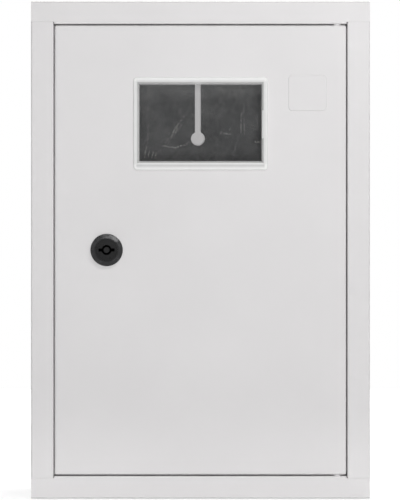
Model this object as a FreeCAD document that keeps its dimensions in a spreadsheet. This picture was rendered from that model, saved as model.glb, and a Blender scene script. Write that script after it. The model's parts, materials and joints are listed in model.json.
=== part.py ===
import FreeCAD, Part
import math
import os
import Sketcher

# Wall-hung electric meter box in folded sheet steel, with a flush hinged door, a clear window and a key lock.
# Millimetres. X to the right, Y into the wall, Z up.
# The origin is on the back face, midway between the wall holes.

# Driving dimensions: name, value, meaning.
SIZES = [
    ("box_width", 300, "outside width"),
    ("box_height", 440, "outside height"),
    ("box_depth", 150, "wall to front face"),
    ("sheet", 1.0, "sheet thickness of cabinet and door"),
    ("bend_outer", 1.6, "outside radius of the cabinet's bends"),
    ("door_bend", 2.0, "outside radius of the door's bends and corners"),
    ("weld_gap", 0.1, "hairline left between sheets that are welded edge to edge"),
    ("frame_face", 20, "width of the frame strip round the door"),
    ("lip_depth", 14, "how far the frame strip turns back into the box"),
    ("seam_inset", 18, "top or bottom edge to the end of a side strip"),
    ("corner_notch", 0.6, "relief left where the turned-back lips meet at a corner"),
    ("stop_width", 6, "door stop folded from the lip on the lock side"),
    ("weld_tab", 14, "width of the side panel's rear welding tab"),
    ("wall_hole_span_x", 220, "wall holes, left to right"),
    ("wall_hole_span_z", 380, "wall holes, top to bottom"),
    ("wall_hole_bore", 7, "wall hole diameter"),
    ("knockout_bore", 23, "diameter of a cable knock-out"),
    ("knockout_spacing", 70, "between cable knock-outs"),
    ("knockout_from_wall", 75, "back face to the middle of a knock-out"),
    ("knockout_groove", 0.8, "width of the groove round a knock-out"),
    ("knockout_score", 0.5, "depth of the groove round a knock-out"),
    ("knockout_count", 3, "knock-outs in the top wall and in the bottom wall"),
    ("side_gap", 0.9, "gap at the door's upright edges"),
    ("end_gap", 1.1, "gap above and below the door"),
    ("door_fold", 12, "depth of the door's folded edges"),
    ("door_corner_slit", 2.6, "corner cut that leaves the door's folded edges apart"),
    ("door_corner_web", 5, "depth of door edge left closed at a corner"),
    ("pad_width", 34, "pressed pad on the door, width"),
    ("pad_height", 32, "pressed pad on the door, height"),
    ("pad_radius", 4, "pressed pad on the door, corner radius"),
    ("pad_rise", 0.6, "how far the pressed pad stands out"),
    ("pad_bevel", 0.5, "bevel round the pressed pad"),
    ("pad_wall", 1.0, "pressed pad's edge to the hollow behind it"),
    ("pad_inset_x", 34.4, "door's right edge to the middle of the pressed pad"),
    ("pad_inset_z", 59.9, "door's top edge to the middle of the pressed pad"),
    ("hinge_inset", 8, "door edge to hinge axis"),
    ("hinge_setback", 4.6, "front face to hinge axis"),
    ("hinge_pin_bore", 3.4, "hinge pin diameter"),
    ("hinge_head_bore", 5, "hinge pin head diameter"),
    ("hinge_head_height", 2, "hinge pin head height"),
    ("hinge_pin_reach", 5, "hinge pin below the door's folded edge"),
    ("hinge_pin_tip", 1, "chamfer at the hinge pin's tip"),
    ("hinge_play", 0.08, "play round a hinge pin"),
    ("hinge_washer_bore", 6.4, "hinge washer outside diameter"),
    ("hinge_lift", 0.2, "play between hinge washer and door"),
    ("window_width", 119, "window rim, outside width"),
    ("window_height", 82.2, "window rim, outside height"),
    ("window_inset", 46, "door's top edge to the top of the window rim"),
    ("window_proud", 2, "window rim in front of the door"),
    ("window_corner", 3, "corner radius of the window rim"),
    ("window_rim_round", 1.4, "rounding of the window rim's front edge"),
    ("window_rim_side", 3.8, "window rim beyond the tray at the sides"),
    ("window_rim_top", 4.6, "window rim beyond the tray at the top"),
    ("window_rim_foot", 6.2, "window rim beyond the tray at the bottom"),
    ("window_tray_wall", 1.4, "wall of the window's recessed tray"),
    ("window_tray_corner", 1.9, "corner radius of the tray and of its cut-out"),
    ("window_recess", 5.5, "rim front to pane front"),
    ("window_bevel", 0.9, "bevel where the rim drops to the pane"),
    ("window_pane_thick", 2, "thickness of the pane"),
    ("window_play", 0.4, "play between tray and door cut-out"),
    ("snap_length", 26, "length of a snap tab"),
    ("snap_hook", 1.2, "snap tab behind the door sheet"),
    ("snap_play", 0.3, "play between snap tab and door sheet"),
    ("snap_height", 2.4, "depth of a snap tab"),
    ("lock_inset", 46.1, "door's left edge to the lock axis"),
    ("lock_place_z", 0, "lock axis above the middle"),
    ("lock_head_bore", 28.6, "lock head diameter"),
    ("lock_head_edge", 2.4, "straight edge of the lock head"),
    ("lock_head_proud", 4.6, "lock head in front of the door"),
    ("lock_ring_bore", 20.8, "inside edge of the lock head's bevel"),
    ("lock_head_break", 0.5, "broken edges of the lock head's bevel"),
    ("lock_face_bore", 18.8, "turning face diameter"),
    ("lock_face_thick", 1.6, "turning face thickness"),
    ("lock_face_sunk", 0.4, "turning face below the head's ring"),
    ("lock_barrel_bore", 19.6, "lock barrel diameter"),
    ("lock_shaft_bore", 16, "turning shaft diameter"),
    ("lock_play", 0.1, "play of the turning parts"),
    ("lock_hole_play", 0.2, "play between the barrel and the door hole or nut"),
    ("key_bore", 8.9, "key hole diameter"),
    ("key_depth", 10, "key hole depth"),
    ("key_wing_span", 14.2, "key slot across the hole"),
    ("key_wing_width", 2.8, "key slot width"),
    ("key_pin_bore", 5.2, "key pin diameter"),
    ("key_pin_sunk", 0.5, "key pin below the face"),
    ("lock_nut_across", 24, "lock nut across flats"),
    ("lock_nut_thick", 5, "lock nut thickness"),
    ("cam_width", 16, "cam width"),
    ("cam_overlap", 9, "cam tip past the edge of the door opening"),
    ("cam_thick", 2, "cam thickness"),
    ("cam_catch_play", 0.8, "cam behind the door stop"),
    ("cam_barrel_play", 0.3, "cam to barrel end"),
    ("cam_square", 8, "square of the shaft's tail"),
    ("cam_square_play", 0.1, "play round the square"),
    ("cam_washer_bore", 13, "cam washer diameter"),
    ("cam_washer_thick", 1.2, "cam washer thickness"),
    ("cam_screw_bore", 4.8, "cam screw diameter"),
    ("cam_screw_play", 0.1, "play round the cam screw"),
    ("cam_screw_reach", 7, "cam screw length under its head"),
    ("cam_head_bore", 8.4, "cam screw head diameter"),
    ("cam_head_height", 2.8, "cam screw head height"),
    ("board_width", 200, "meter board width"),
    ("board_height", 240, "meter board height"),
    ("board_inset", 25, "outside of the top wall to the meter board"),
    ("board_thick", 3, "meter board thickness"),
    ("board_corner", 4, "meter board corner radius"),
    ("board_standoff", 8, "back wall to meter board"),
    ("board_stud_inset", 12, "meter board edge to stud"),
    ("board_stud_bore", 5, "meter board stud diameter"),
    ("board_stud_spare", 3, "stud past its nut"),
    ("board_spacer_bore", 10, "meter board spacer diameter"),
    ("board_washer_bore", 11, "meter board washer diameter"),
    ("board_washer_thick", 1, "meter board washer thickness"),
    ("board_nut_across", 8, "meter board nut across flats"),
    ("board_nut_thick", 4, "meter board nut thickness"),
    ("stud_play", 0.15, "play round a stud or a rail screw"),
    ("keyhole_place_x", -2.3, "keyhole from the middle"),
    ("keyhole_drop", 92, "top of the meter board to the round end of the keyhole"),
    ("keyhole_bore", 12.9, "round end of the keyhole, diameter"),
    ("keyhole_slot", 5.6, "keyhole slot width"),
    ("keyhole_rise", 66, "keyhole slot above the round end"),
    ("foot_slot_drop", 210, "top of the meter board to the lower meter slots"),
    ("foot_slot_width", 5.6, "lower meter slot width"),
    ("foot_slot_inner", 28, "inner end of a lower meter slot"),
    ("foot_slot_outer", 68, "outer end of a lower meter slot"),
    ("rail_length", 200, "breaker rail length"),
    ("rail_rise_z", 125, "outside of the bottom wall to the middle of the breaker rail"),
    ("rail_height", 35, "breaker rail height"),
    ("rail_sheet", 1.0, "breaker rail sheet"),
    ("rail_channel", 27, "breaker rail channel width"),
    ("rail_rise", 7.5, "breaker rail depth"),
    ("rail_slot_width", 6.2, "breaker rail slot width"),
    ("rail_slot_length", 15, "breaker rail slot length"),
    ("rail_slot_spacing", 25, "between breaker rail slots"),
    ("rail_slot_count", 7, "breaker rail slots"),
    ("bracket_slot", 3, "slots from the rail's middle slot to a bracket's screw"),
    ("bracket_standoff", 20, "back wall to breaker rail"),
    ("bracket_width", 16, "rail bracket width"),
    ("bracket_height", 30, "rail bracket height"),
    ("bracket_sheet", 1.5, "rail bracket sheet"),
    ("rail_screw_bore", 4.8, "rail screw diameter"),
    ("rail_screw_reach", 6, "rail screw length under its head"),
    ("rail_screw_head_bore", 9, "rail screw head diameter"),
    ("rail_screw_head", 2.2, "rail screw head height"),
    ("cross_span", 5, "cross recess of a screw head, length"),
    ("cross_width", 1, "cross recess of a screw head, width"),
    ("cross_depth", 1.3, "cross recess of a screw head, depth"),
    ("bar_length", 88, "terminal bar length"),
    ("bar_place_x", 60, "middle of a terminal bar from the middle"),
    ("bar_rise_z", 55, "outside of the bottom wall to the middle of the terminal bars"),
    ("bar_depth", 9, "terminal bar depth"),
    ("bar_height", 7, "terminal bar height"),
    ("bar_wire_bore", 4.8, "terminal bar wire hole diameter"),
    ("bar_hole_spacing", 10, "between terminal bar holes"),
    ("bar_count", 6, "holes in a terminal bar"),
    ("bar_screw_bore", 3.8, "terminal screw diameter"),
    ("bar_screw_proud", 1.6, "terminal screw in front of its bar"),
    ("bar_screw_reach", 3, "terminal screw inside its bar"),
    ("bar_screw_slit", 0.8, "slit in a terminal screw"),
    ("bar_screw_play", 0.1, "play round a terminal screw"),
    ("bar_foot_width", 9, "terminal bar foot width"),
    ("bar_foot_height", 14, "terminal bar foot height"),
    ("bar_foot_depth", 18, "back wall to terminal bar"),
    ("bar_foot_inset", 3, "terminal bar end to its foot"),
    ("earth_rise_z", 32, "outside of the bottom wall to the earth stud"),
    ("door_earth_inset_x", 33, "door's right edge to its earth stud"),
    ("door_earth_inset_z", 49, "door's bottom edge to its earth stud"),
    ("earth_stud_bore", 6, "earth stud diameter"),
    ("earth_stud_length", 14, "earth stud length"),
    ("earth_washer_bore", 12.5, "earth washer diameter"),
    ("earth_washer_thick", 1.6, "earth washer thickness"),
    ("earth_nut_across", 10, "earth nut across flats"),
    ("earth_nut_thick", 5, "earth nut thickness"),
]

SHEET_NAME = "Dimensions"
CUT_MARGIN = 1.0  # how far a cut runs past the faces that it opens


class Size:
    """A length known both by its number and by the spreadsheet formula that gives it."""

    def __init__(self, value, formula):
        self.value = value
        self.formula = formula

    def __add__(self, other):
        other = as_size(other)
        return Size(self.value + other.value, "(%s + %s)" % (self.formula, other.formula))

    def __sub__(self, other):
        other = as_size(other)
        return Size(self.value - other.value, "(%s - %s)" % (self.formula, other.formula))

    def __mul__(self, other):
        other = as_size(other)
        return Size(self.value * other.value, "(%s * %s)" % (self.formula, other.formula))

    def __truediv__(self, other):
        other = as_size(other)
        return Size(self.value / other.value, "(%s / %s)" % (self.formula, other.formula))

    def __neg__(self):
        return Size(-self.value, "(-1 * %s)" % self.formula)

    def __rsub__(self, other):
        return as_size(other) - self

    __radd__ = __add__
    __rmul__ = __mul__


def as_size(number):
    """A Size stays as it is, and a plain number becomes one."""
    if isinstance(number, Size):
        return number
    return Size(float(number), "%.9g" % number)


class Dimensions:
    """The sizes in the spreadsheet, by name."""


doc = FreeCAD.newDocument("meter_box")
table = doc.addObject("Spreadsheet::Sheet", SHEET_NAME)
dim = Dimensions()
for row, (alias, number, meaning) in enumerate(SIZES, start=1):
    table.set("A%d" % row, alias)
    table.set("B%d" % row, str(number))
    table.setAlias("B%d" % row, alias)
    table.set("C%d" % row, meaning)
    setattr(dim, alias, Size(float(number), "%s.%s" % (SHEET_NAME, alias)))
doc.recompute()


# Sketch shapes. Each returns a function that draws one closed outline and binds it to the sheet.

def place_point(sketch, geometry, position, x, y):
    """Hold one point of a sketch at the given distances from the sketch's origin."""
    for kind, coordinate, axis in (("DistanceX", x, -2), ("DistanceY", y, -1)):
        if coordinate.formula == "0":
            sketch.addConstraint(Sketcher.Constraint("PointOnObject", geometry, position, axis))
            continue
        index = sketch.addConstraint(Sketcher.Constraint(kind, -1, 1, geometry, position, coordinate.value))
        sketch.setExpression("Constraints[%d]" % index, coordinate.formula)


def hold_radius(sketch, geometry, radius):
    index = sketch.addConstraint(Sketcher.Constraint("Radius", geometry, radius.value))
    sketch.setExpression("Constraints[%d]" % index, radius.formula)


def polygon(points):
    """A closed outline of straight lines through the points."""
    corners = [(as_size(x), as_size(y)) for x, y in points]

    def draw(sketch):
        vectors = [FreeCAD.Vector(x.value, y.value, 0) for x, y in corners]
        first = sketch.GeometryCount
        count = len(vectors)
        for i in range(count):
            sketch.addGeometry(Part.LineSegment(vectors[i], vectors[(i + 1) % count]), False)
        for i in range(count):
            following = first + (i + 1) % count
            sketch.addConstraint(Sketcher.Constraint("Coincident", first + i, 2, following, 1))
        for i, (x, y) in enumerate(corners):
            place_point(sketch, first + i, 1, x, y)

    return draw


def rectangle(left, right, low, high):
    return polygon([(left, low), (right, low), (right, high), (left, high)])


def circle(x, y, bore):
    """A circle by its middle and its diameter."""
    middle = (as_size(x), as_size(y))
    radius = as_size(bore) / 2

    def draw(sketch):
        centre = FreeCAD.Vector(middle[0].value, middle[1].value, 0)
        index = sketch.addGeometry(Part.Circle(centre, FreeCAD.Vector(0, 0, 1), radius.value), False)
        place_point(sketch, index, 3, *middle)
        hold_radius(sketch, index, radius)

    return draw


def rounded(centres, radius):
    """The outline round equal circles at the centres, which are given anticlockwise."""
    middles = [(as_size(x), as_size(y)) for x, y in centres]
    radius = as_size(radius)

    def draw(sketch):
        first = sketch.GeometryCount
        count = len(middles)
        points = [FreeCAD.Vector(x.value, y.value, 0) for x, y in middles]
        headings = []
        for i in range(count):
            step = points[(i + 1) % count] - points[i]
            headings.append(math.atan2(step.y, step.x))
        for i in range(count):
            start = headings[i - 1] - math.pi / 2
            end = headings[i] - math.pi / 2
            if end < start:
                end += 2 * math.pi
            ring = Part.Circle(points[i], FreeCAD.Vector(0, 0, 1), radius.value)
            sketch.addGeometry(Part.ArcOfCircle(ring, start, end), False)
            side = FreeCAD.Vector(math.cos(end), math.sin(end), 0) * radius.value
            sketch.addGeometry(Part.LineSegment(points[i] + side, points[(i + 1) % count] + side), False)
        for i in range(count):
            arc = first + 2 * i
            line = arc + 1
            following = first + 2 * ((i + 1) % count)
            sketch.addConstraint(Sketcher.Constraint("Tangent", arc, 2, line, 1))
            sketch.addConstraint(Sketcher.Constraint("Tangent", line, 2, following, 1))
            place_point(sketch, arc, 3, *middles[i])
            hold_radius(sketch, arc, radius)

    return draw


def rounded_rectangle(left, right, low, high, radius):
    inner = [as_size(left) + radius, as_size(right) - radius, as_size(low) + radius, as_size(high) - radius]
    corners = [(inner[0], inner[2]), (inner[1], inner[2]), (inner[1], inner[3]), (inner[0], inner[3])]
    return rounded(corners, radius)


def hexagon(x, y, across):
    """A hexagon by its middle and its width across the flats, with two flats upright."""
    x = as_size(x)
    y = as_size(y)
    flat = as_size(across) / 2
    corner = as_size(across) / math.sqrt(3)
    half_side = corner / 2
    return polygon([(x - flat, y - half_side), (x, y - corner), (x + flat, y - half_side),
                    (x + flat, y + half_side), (x, y + corner), (x - flat, y + half_side)])


# Bodies and features. A plane is named by its two axes, and a level is the place along the third one.

NORMAL_SIGN = {"XY": 1, "XZ": -1, "YZ": 1}


def new_body(name):
    body = doc.addObject("PartDesign::Body", name)
    body.Label = name
    return body


def new_sketch(body, plane, shapes, offset):
    """A sketch on one of the body's own origin planes, moved by the offset in the sketch's axes."""
    sketch = body.newObject("Sketcher::SketchObject", body.Name + "_sketch")
    support = [feature for feature in body.Origin.OriginFeatures if feature.Role == plane + "_Plane"][0]
    sketch.AttachmentSupport = (support, [""])
    sketch.MapMode = "FlatFace"
    for axis, distance in zip("xyz", offset):
        sketch.setExpression("AttachmentOffset.Base." + axis, as_size(distance).formula)
    for draw in shapes:
        draw(sketch)
    doc.recompute()
    return sketch


def extrude(body, kind, plane, start, end, shapes):
    """Pad or pocket the shapes from one level to another along the plane's third axis."""
    start = as_size(start)
    end = as_size(end)
    sign = NORMAL_SIGN[plane]
    sketch = new_sketch(body, plane, shapes, (0, 0, start * sign))
    feature = body.newObject("PartDesign::" + kind, body.Name + "_" + kind.lower())
    feature.Profile = sketch
    along_normal = (end.value - start.value) * sign > 0
    forward = end.value > start.value
    length = end - start if forward else start - end
    feature.setExpression("Length", length.formula)
    feature.Reversed = along_normal if kind == "Pocket" else not along_normal
    doc.recompute()
    return feature


def pad(body, plane, start, end, shapes):
    return extrude(body, "Pad", plane, start, end, shapes)


def pocket(body, plane, start, end, shapes):
    before = body.Shape.Volume
    feature = extrude(body, "Pocket", plane, start, end, shapes)
    if body.Shape.Volume >= before:
        raise RuntimeError("a pocket in %s cuts nothing" % body.Label)
    return feature


def revolve(body, axis, place, profile):
    """Turn a profile of (radius, level) points about an upright axis Z or a fore-and-aft axis Y.

    The place is the axis's (x, y) for Z and its (x, z) for Y.
    """
    if axis == "Z":
        shapes = [polygon(profile)]
        sketch = new_sketch(body, "XZ", shapes, (place[0], 0, -as_size(place[1])))
        line = "V_Axis"
    else:
        shapes = [polygon([(level, radius) for radius, level in profile])]
        sketch = new_sketch(body, "YZ", shapes, (0, place[1], place[0]))
        line = "H_Axis"
    feature = body.newObject("PartDesign::Revolution", body.Name + "_turned")
    feature.Profile = sketch
    feature.ReferenceAxis = (sketch, [line])
    feature.Angle = 360
    doc.recompute()
    return feature


def dress(body, kind, edges, size):
    """Fillet or chamfer the edges of the body that the test picks out."""
    base = body.Tip
    names = ["Edge%d" % i for i, edge in enumerate(base.Shape.Edges, start=1) if edges(edge)]
    if not names:
        raise RuntimeError("no edge to dress in %s" % body.Label)
    feature = body.newObject("PartDesign::" + kind, body.Name + "_" + kind.lower())
    feature.Base = (base, names)
    feature.setExpression("Radius" if kind == "Fillet" else "Size", as_size(size).formula)
    doc.recompute()
    return feature


def repeat(body, count, pitch, feature=None):
    """Repeat a feature, or the whole body where no feature is named, along X."""
    pattern = body.newObject("PartDesign::LinearPattern", body.Name + "_row")
    if feature:
        pattern.Originals = [feature]
    else:
        pattern.TransformMode = "Whole shape"
    direction = [part for part in body.Origin.OriginFeatures if part.Role == "X_Axis"][0]
    pattern.Direction = (direction, [""])
    pattern.setExpression("Length", (as_size(pitch) * (count - 1)).formula)
    pattern.setExpression("Occurrences", count.formula)
    body.Tip = pattern
    doc.recompute()
    return pattern


NEAR = 1e-4  # lengths closer than this count as equal


def runs_along(edge, axis):
    """Whether an edge is straight and parallel to the axis."""
    lengths = {"X": edge.BoundBox.XLength, "Y": edge.BoundBox.YLength, "Z": edge.BoundBox.ZLength}
    return all((length > NEAR) == (name == axis) for name, length in lengths.items())


def lies_at(edge, **levels):
    """Whether the whole edge lies at the given levels, such as y=-150."""
    box = edge.BoundBox
    ends = {"x": (box.XMin, box.XMax), "y": (box.YMin, box.YMax), "z": (box.ZMin, box.ZMax)}
    return all(abs(ends[axis][0] - level.value) < NEAR and abs(ends[axis][1] - level.value) < NEAR
               for axis, level in levels.items())


def bends(axis, names, points):
    """A test for the edges of a folded profile that pass through the given points."""
    places = [{names[0]: as_size(a), names[1]: as_size(b)} for a, b in points]
    return lambda edge: runs_along(edge, axis) and any(lies_at(edge, **place) for place in places)


def mirrored_pair(value):
    return (-as_size(value), as_size(value))


def sorted_pair(first, second):
    return (first, second) if first.value < second.value else (second, first)


# Shared levels and places
zero = as_size(0)
half_width = dim.box_width / 2
half_height = dim.box_height / 2
front = -dim.box_depth
wall_face = -dim.sheet
bend_inner = dim.bend_outer - dim.sheet
opening_x = half_width - dim.frame_face
opening_z = half_height - dim.frame_face
lip_end = front + dim.lip_depth
strip_end_z = half_height - dim.seam_inset
door_x = opening_x - dim.side_gap
door_z = opening_z - dim.end_gap
door_back = front + dim.sheet
door_fold_end = front + dim.door_fold
hinge_x = door_x - dim.hinge_inset
hinge_y = front + dim.hinge_setback
hinge_hole = dim.hinge_pin_bore + dim.hinge_play * 2


def make_back_wrap():
    """Top, back and bottom walls from one folded sheet, with the frame strips that run the full width."""
    body = new_body("back_wrap")
    lip_top = opening_z + dim.sheet
    inner_z = half_height - dim.sheet
    outside = [(front, opening_z), (front, half_height), (zero, half_height)]
    inside = [(front + dim.sheet, lip_top), (front + dim.sheet, inner_z), (wall_face, inner_z)]
    upper = [(lip_end, opening_z)] + outside
    upper_back = [(y, z) for y, z in reversed(inside)] + [(lip_end, lip_top)]
    lower = [(y, -z) for y, z in reversed(upper)]
    lower_back = [(y, -z) for y, z in reversed(upper_back)]
    pad(body, "YZ", -half_width, half_width, [polygon(upper + lower + lower_back + upper_back)])
    both = lambda points: points + [(y, -z) for y, z in points]
    dress(body, "Fillet", bends("X", "yz", both(outside)), dim.bend_outer)
    dress(body, "Fillet", bends("X", "yz", both(inside)), bend_inner)
    lip_x = opening_x - dim.corner_notch
    for low, high in ((opening_z - CUT_MARGIN, strip_end_z), (-strip_end_z, CUT_MARGIN - opening_z)):
        corners = [rectangle(-half_width - CUT_MARGIN, -lip_x, low, high),
                   rectangle(lip_x, half_width + CUT_MARGIN, low, high)]
        pocket(body, "XZ", front - CUT_MARGIN, lip_end + CUT_MARGIN, corners)
    across = mirrored_pair(dim.wall_hole_span_x / 2)
    upright = mirrored_pair(dim.wall_hole_span_z / 2)
    holes = [circle(x, z, dim.wall_hole_bore) for x in across for z in upright]
    pocket(body, "XZ", wall_face - CUT_MARGIN, CUT_MARGIN, holes)
    pin_hole = [circle(hinge_x, hinge_y, hinge_hole)]
    pocket(body, "XY", opening_z - CUT_MARGIN, lip_top + CUT_MARGIN, pin_hole)
    pocket(body, "XY", CUT_MARGIN - opening_z, -lip_top - CUT_MARGIN, pin_hole)
    first_x = -dim.knockout_spacing * (dim.knockout_count - 1) / 2
    ring = [circle(first_x, -dim.knockout_from_wall, dim.knockout_bore),
            circle(first_x, -dim.knockout_from_wall, dim.knockout_bore + dim.knockout_groove * 2)]
    for face, floor in ((half_height, half_height - dim.knockout_score),
                        (-half_height, dim.knockout_score - half_height)):
        groove = pocket(body, "XY", face, floor, ring)
        repeat(body, dim.knockout_count, dim.knockout_spacing, groove)
    return body


def make_side_panel(name, side, has_stop):
    """A side wall with its frame strip, turned-back lip and welding tab, and on the lock side a door stop."""
    body = new_body(name)
    lip_far = opening_x + dim.sheet
    wall_inner = half_width - dim.sheet
    tab_end = half_width - dim.weld_tab
    tab_front = wall_face - dim.sheet
    outer_bends = [(opening_x, front), (half_width, front), (half_width, wall_face)]
    inner_bends = [(lip_far, door_back), (wall_inner, door_back), (wall_inner, tab_front)]
    if has_stop:
        stop_end = opening_x - dim.stop_width
        lip_tail = [(lip_far, lip_end), (stop_end, lip_end), (stop_end, lip_end - dim.sheet),
                    (opening_x, lip_end - dim.sheet)]
        stop_outer = [(lip_far, lip_end)]
        stop_inner = [(opening_x, lip_end - dim.sheet)]
    else:
        lip_tail = [(lip_far, lip_end), (opening_x, lip_end)]
        stop_outer = []
        stop_inner = []
    outline = lip_tail + outer_bends + [(tab_end, wall_face), (tab_end, tab_front)]
    outline += [inner_bends[2], inner_bends[1], inner_bends[0]]
    on_side = lambda points: [(x * side, y) for x, y in points]
    top = half_height - dim.sheet - dim.weld_gap
    pad(body, "XY", -top, top, [polygon(on_side(outline))])
    dress(body, "Fillet", bends("Z", "xy", on_side(outer_bends + stop_outer)), dim.bend_outer)
    dress(body, "Fillet", bends("Z", "xy", on_side(inner_bends + stop_inner)), bend_inner)
    strip_top = strip_end_z - dim.weld_gap
    inward = (opening_x - dim.stop_width - CUT_MARGIN) * side
    outward = (half_width + CUT_MARGIN) * side
    wall_start = door_back + dim.weld_gap
    for z, end in ((strip_top, top + CUT_MARGIN), (-strip_top, -top - CUT_MARGIN)):
        strip = polygon([(inward, front - CUT_MARGIN), (outward, front - CUT_MARGIN),
                         (outward, wall_start), (wall_inner * side, wall_start),
                         (wall_inner * side, lip_end + CUT_MARGIN), (inward, lip_end + CUT_MARGIN)])
        pocket(body, "XY", z, end, [strip])
    rear_notch = rectangle(*sorted_pair((tab_end - CUT_MARGIN) * side, outward),
                           wall_face - dim.bend_outer, wall_face + CUT_MARGIN)
    notch_start = half_height - dim.bend_outer
    for z, end in ((notch_start, top + CUT_MARGIN), (-notch_start, -top - CUT_MARGIN)):
        pocket(body, "XY", z, end, [rear_notch])
    if has_stop:
        stop = rectangle(*sorted_pair(inward, opening_x * side),
                         lip_end - dim.sheet - dim.bend_outer, lip_end + CUT_MARGIN)
        stop_top = opening_z - dim.corner_notch
        for z, end in ((stop_top, strip_end_z), (-stop_top, -strip_end_z)):
            pocket(body, "XY", z, end, [stop])
    dress(body, "Fillet", bends("X", "yz", [(wall_start, z) for z in mirrored_pair(top)]), dim.bend_outer)
    return body


def make_hinge_pin(name, up):
    """A headed pin through the frame lip into the door's folded edge."""
    body = new_body(name)
    seat = opening_z + dim.sheet
    head_end = seat + dim.hinge_head_height
    tip = door_z - dim.sheet - dim.hinge_pin_reach
    radius = dim.hinge_pin_bore / 2
    head = dim.hinge_head_bore / 2
    profile = [(zero, tip), (radius - dim.hinge_pin_tip, tip), (radius, tip + dim.hinge_pin_tip),
               (radius, seat), (head, seat), (head, head_end), (zero, head_end)]
    revolve(body, "Z", (hinge_x, hinge_y), [(r, z * up) for r, z in profile])
    return body


def make_hinge_washers():
    body = new_body("hinge_washers")
    ring = [circle(hinge_x, hinge_y, hinge_hole), circle(hinge_x, hinge_y, dim.hinge_washer_bore)]
    thick = dim.end_gap - dim.hinge_lift
    pad(body, "XY", opening_z - thick, opening_z, ring)
    pad(body, "XY", thick - opening_z, -opening_z, ring)
    return body


# Meter board and what carries it
board_back = wall_face - dim.board_standoff
board_front = board_back - dim.board_thick
board_washer_front = board_front - dim.board_washer_thick
board_nut_front = board_washer_front - dim.board_nut_thick
board_high = half_height - dim.board_inset
board_low = board_high - dim.board_height
stud_hole = dim.board_stud_bore + dim.stud_play * 2
stud_places = [(x, z) for x in mirrored_pair(dim.board_width / 2 - dim.board_stud_inset)
               for z in (board_low + dim.board_stud_inset, board_high - dim.board_stud_inset)]


def make_meter_board():
    body = new_body("meter_board")
    half = dim.board_width / 2
    outline = rounded_rectangle(-half, half, board_low, board_high, dim.board_corner)
    pad(body, "XZ", board_back, board_front, [outline])
    cut = (board_front - CUT_MARGIN, board_back + CUT_MARGIN)
    x = dim.keyhole_place_x
    z = board_high - dim.keyhole_drop
    slot = rounded([(x, z), (x, z + dim.keyhole_rise)], dim.keyhole_slot / 2)
    pocket(body, "XZ", *cut, [slot])
    pocket(body, "XZ", *cut, [circle(x, z, dim.keyhole_bore)])
    foot_z = board_high - dim.foot_slot_drop
    right_foot = [(dim.foot_slot_inner, foot_z), (dim.foot_slot_outer, foot_z)]
    left_foot = [(-dim.foot_slot_outer, foot_z), (-dim.foot_slot_inner, foot_z)]
    feet = [rounded(ends, dim.foot_slot_width / 2) for ends in (right_foot, left_foot)]
    pocket(body, "XZ", *cut, feet + [circle(*place, stud_hole) for place in stud_places])
    return body


def make_board_hardware():
    studs = new_body("board_studs")
    pad(studs, "XZ", wall_face, board_nut_front - dim.board_stud_spare,
        [circle(x, z, dim.board_stud_bore) for x, z in stud_places])
    layers = [("board_spacers", dim.board_spacer_bore, wall_face, board_back),
              ("board_washers", dim.board_washer_bore, board_front, board_washer_front)]
    made = [studs]
    for name, bore, start, end in layers:
        body = new_body(name)
        rings = [circle(x, z, width) for x, z in stud_places for width in (stud_hole, bore)]
        pad(body, "XZ", start, end, rings)
        made.append(body)
    nuts = new_body("board_nuts")
    outlines = [hexagon(x, z, dim.board_nut_across) for x, z in stud_places]
    bores = [circle(x, z, stud_hole) for x, z in stud_places]
    pad(nuts, "XZ", board_washer_front, board_nut_front, outlines + bores)
    made.append(nuts)
    return made


# Breaker rail
rail_back = wall_face - dim.bracket_standoff
rail_web = rail_back - dim.rail_sheet
rail_front = rail_back - dim.rail_rise
rail_z = dim.rail_rise_z - half_height
bracket_x = dim.rail_slot_spacing * dim.bracket_slot
screw_places = [(x, rail_z) for x in mirrored_pair(bracket_x)]


def make_din_rail():
    """Top-hat rail with a row of slots in its web."""
    body = new_body("din_rail")
    lip = rail_front + dim.rail_sheet
    top = dim.rail_height / 2
    channel = dim.rail_channel / 2
    inside = channel - dim.rail_sheet
    upper = [(rail_web, inside), (rail_front, inside), (rail_front, top), (lip, top), (lip, channel),
             (rail_back, channel)]
    lower = [(y, -z) for y, z in reversed(upper)]
    outline = polygon([(y, z + rail_z) for y, z in upper + lower])
    half = dim.rail_length / 2
    pad(body, "YZ", -half, half, [outline])
    first_x = -dim.rail_slot_spacing * (dim.rail_slot_count - 1) / 2
    reach = (dim.rail_slot_length - dim.rail_slot_width) / 2
    ends = [(first_x - reach, rail_z), (first_x + reach, rail_z)]
    slot = rounded(ends, dim.rail_slot_width / 2)
    cut = pocket(body, "XZ", rail_web - CUT_MARGIN, rail_back + CUT_MARGIN, [slot])
    repeat(body, dim.rail_slot_count, dim.rail_slot_spacing, cut)
    return body


def make_rail_brackets():
    """Two folded C brackets that stand the rail off the back wall."""
    body = new_body("rail_brackets")
    half = dim.bracket_width / 2
    shapes = []
    for side in (-1, 1):
        middle = bracket_x * side
        web = middle + half * side
        inner = web - dim.bracket_sheet * side
        free = middle - half * side
        foot = wall_face - dim.bracket_sheet
        seat = rail_back + dim.bracket_sheet
        shapes.append(polygon([(free, wall_face), (web, wall_face), (web, rail_back), (free, rail_back),
                               (free, seat), (inner, seat), (inner, foot), (free, foot)]))
    low = rail_z - dim.bracket_height / 2
    pad(body, "XY", low, low + dim.bracket_height, shapes)
    holes = [circle(x, z, dim.rail_screw_bore + dim.stud_play * 2) for x, z in screw_places]
    pocket(body, "XZ", rail_back - CUT_MARGIN, rail_back + dim.bracket_sheet + CUT_MARGIN, holes)
    return body


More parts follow.
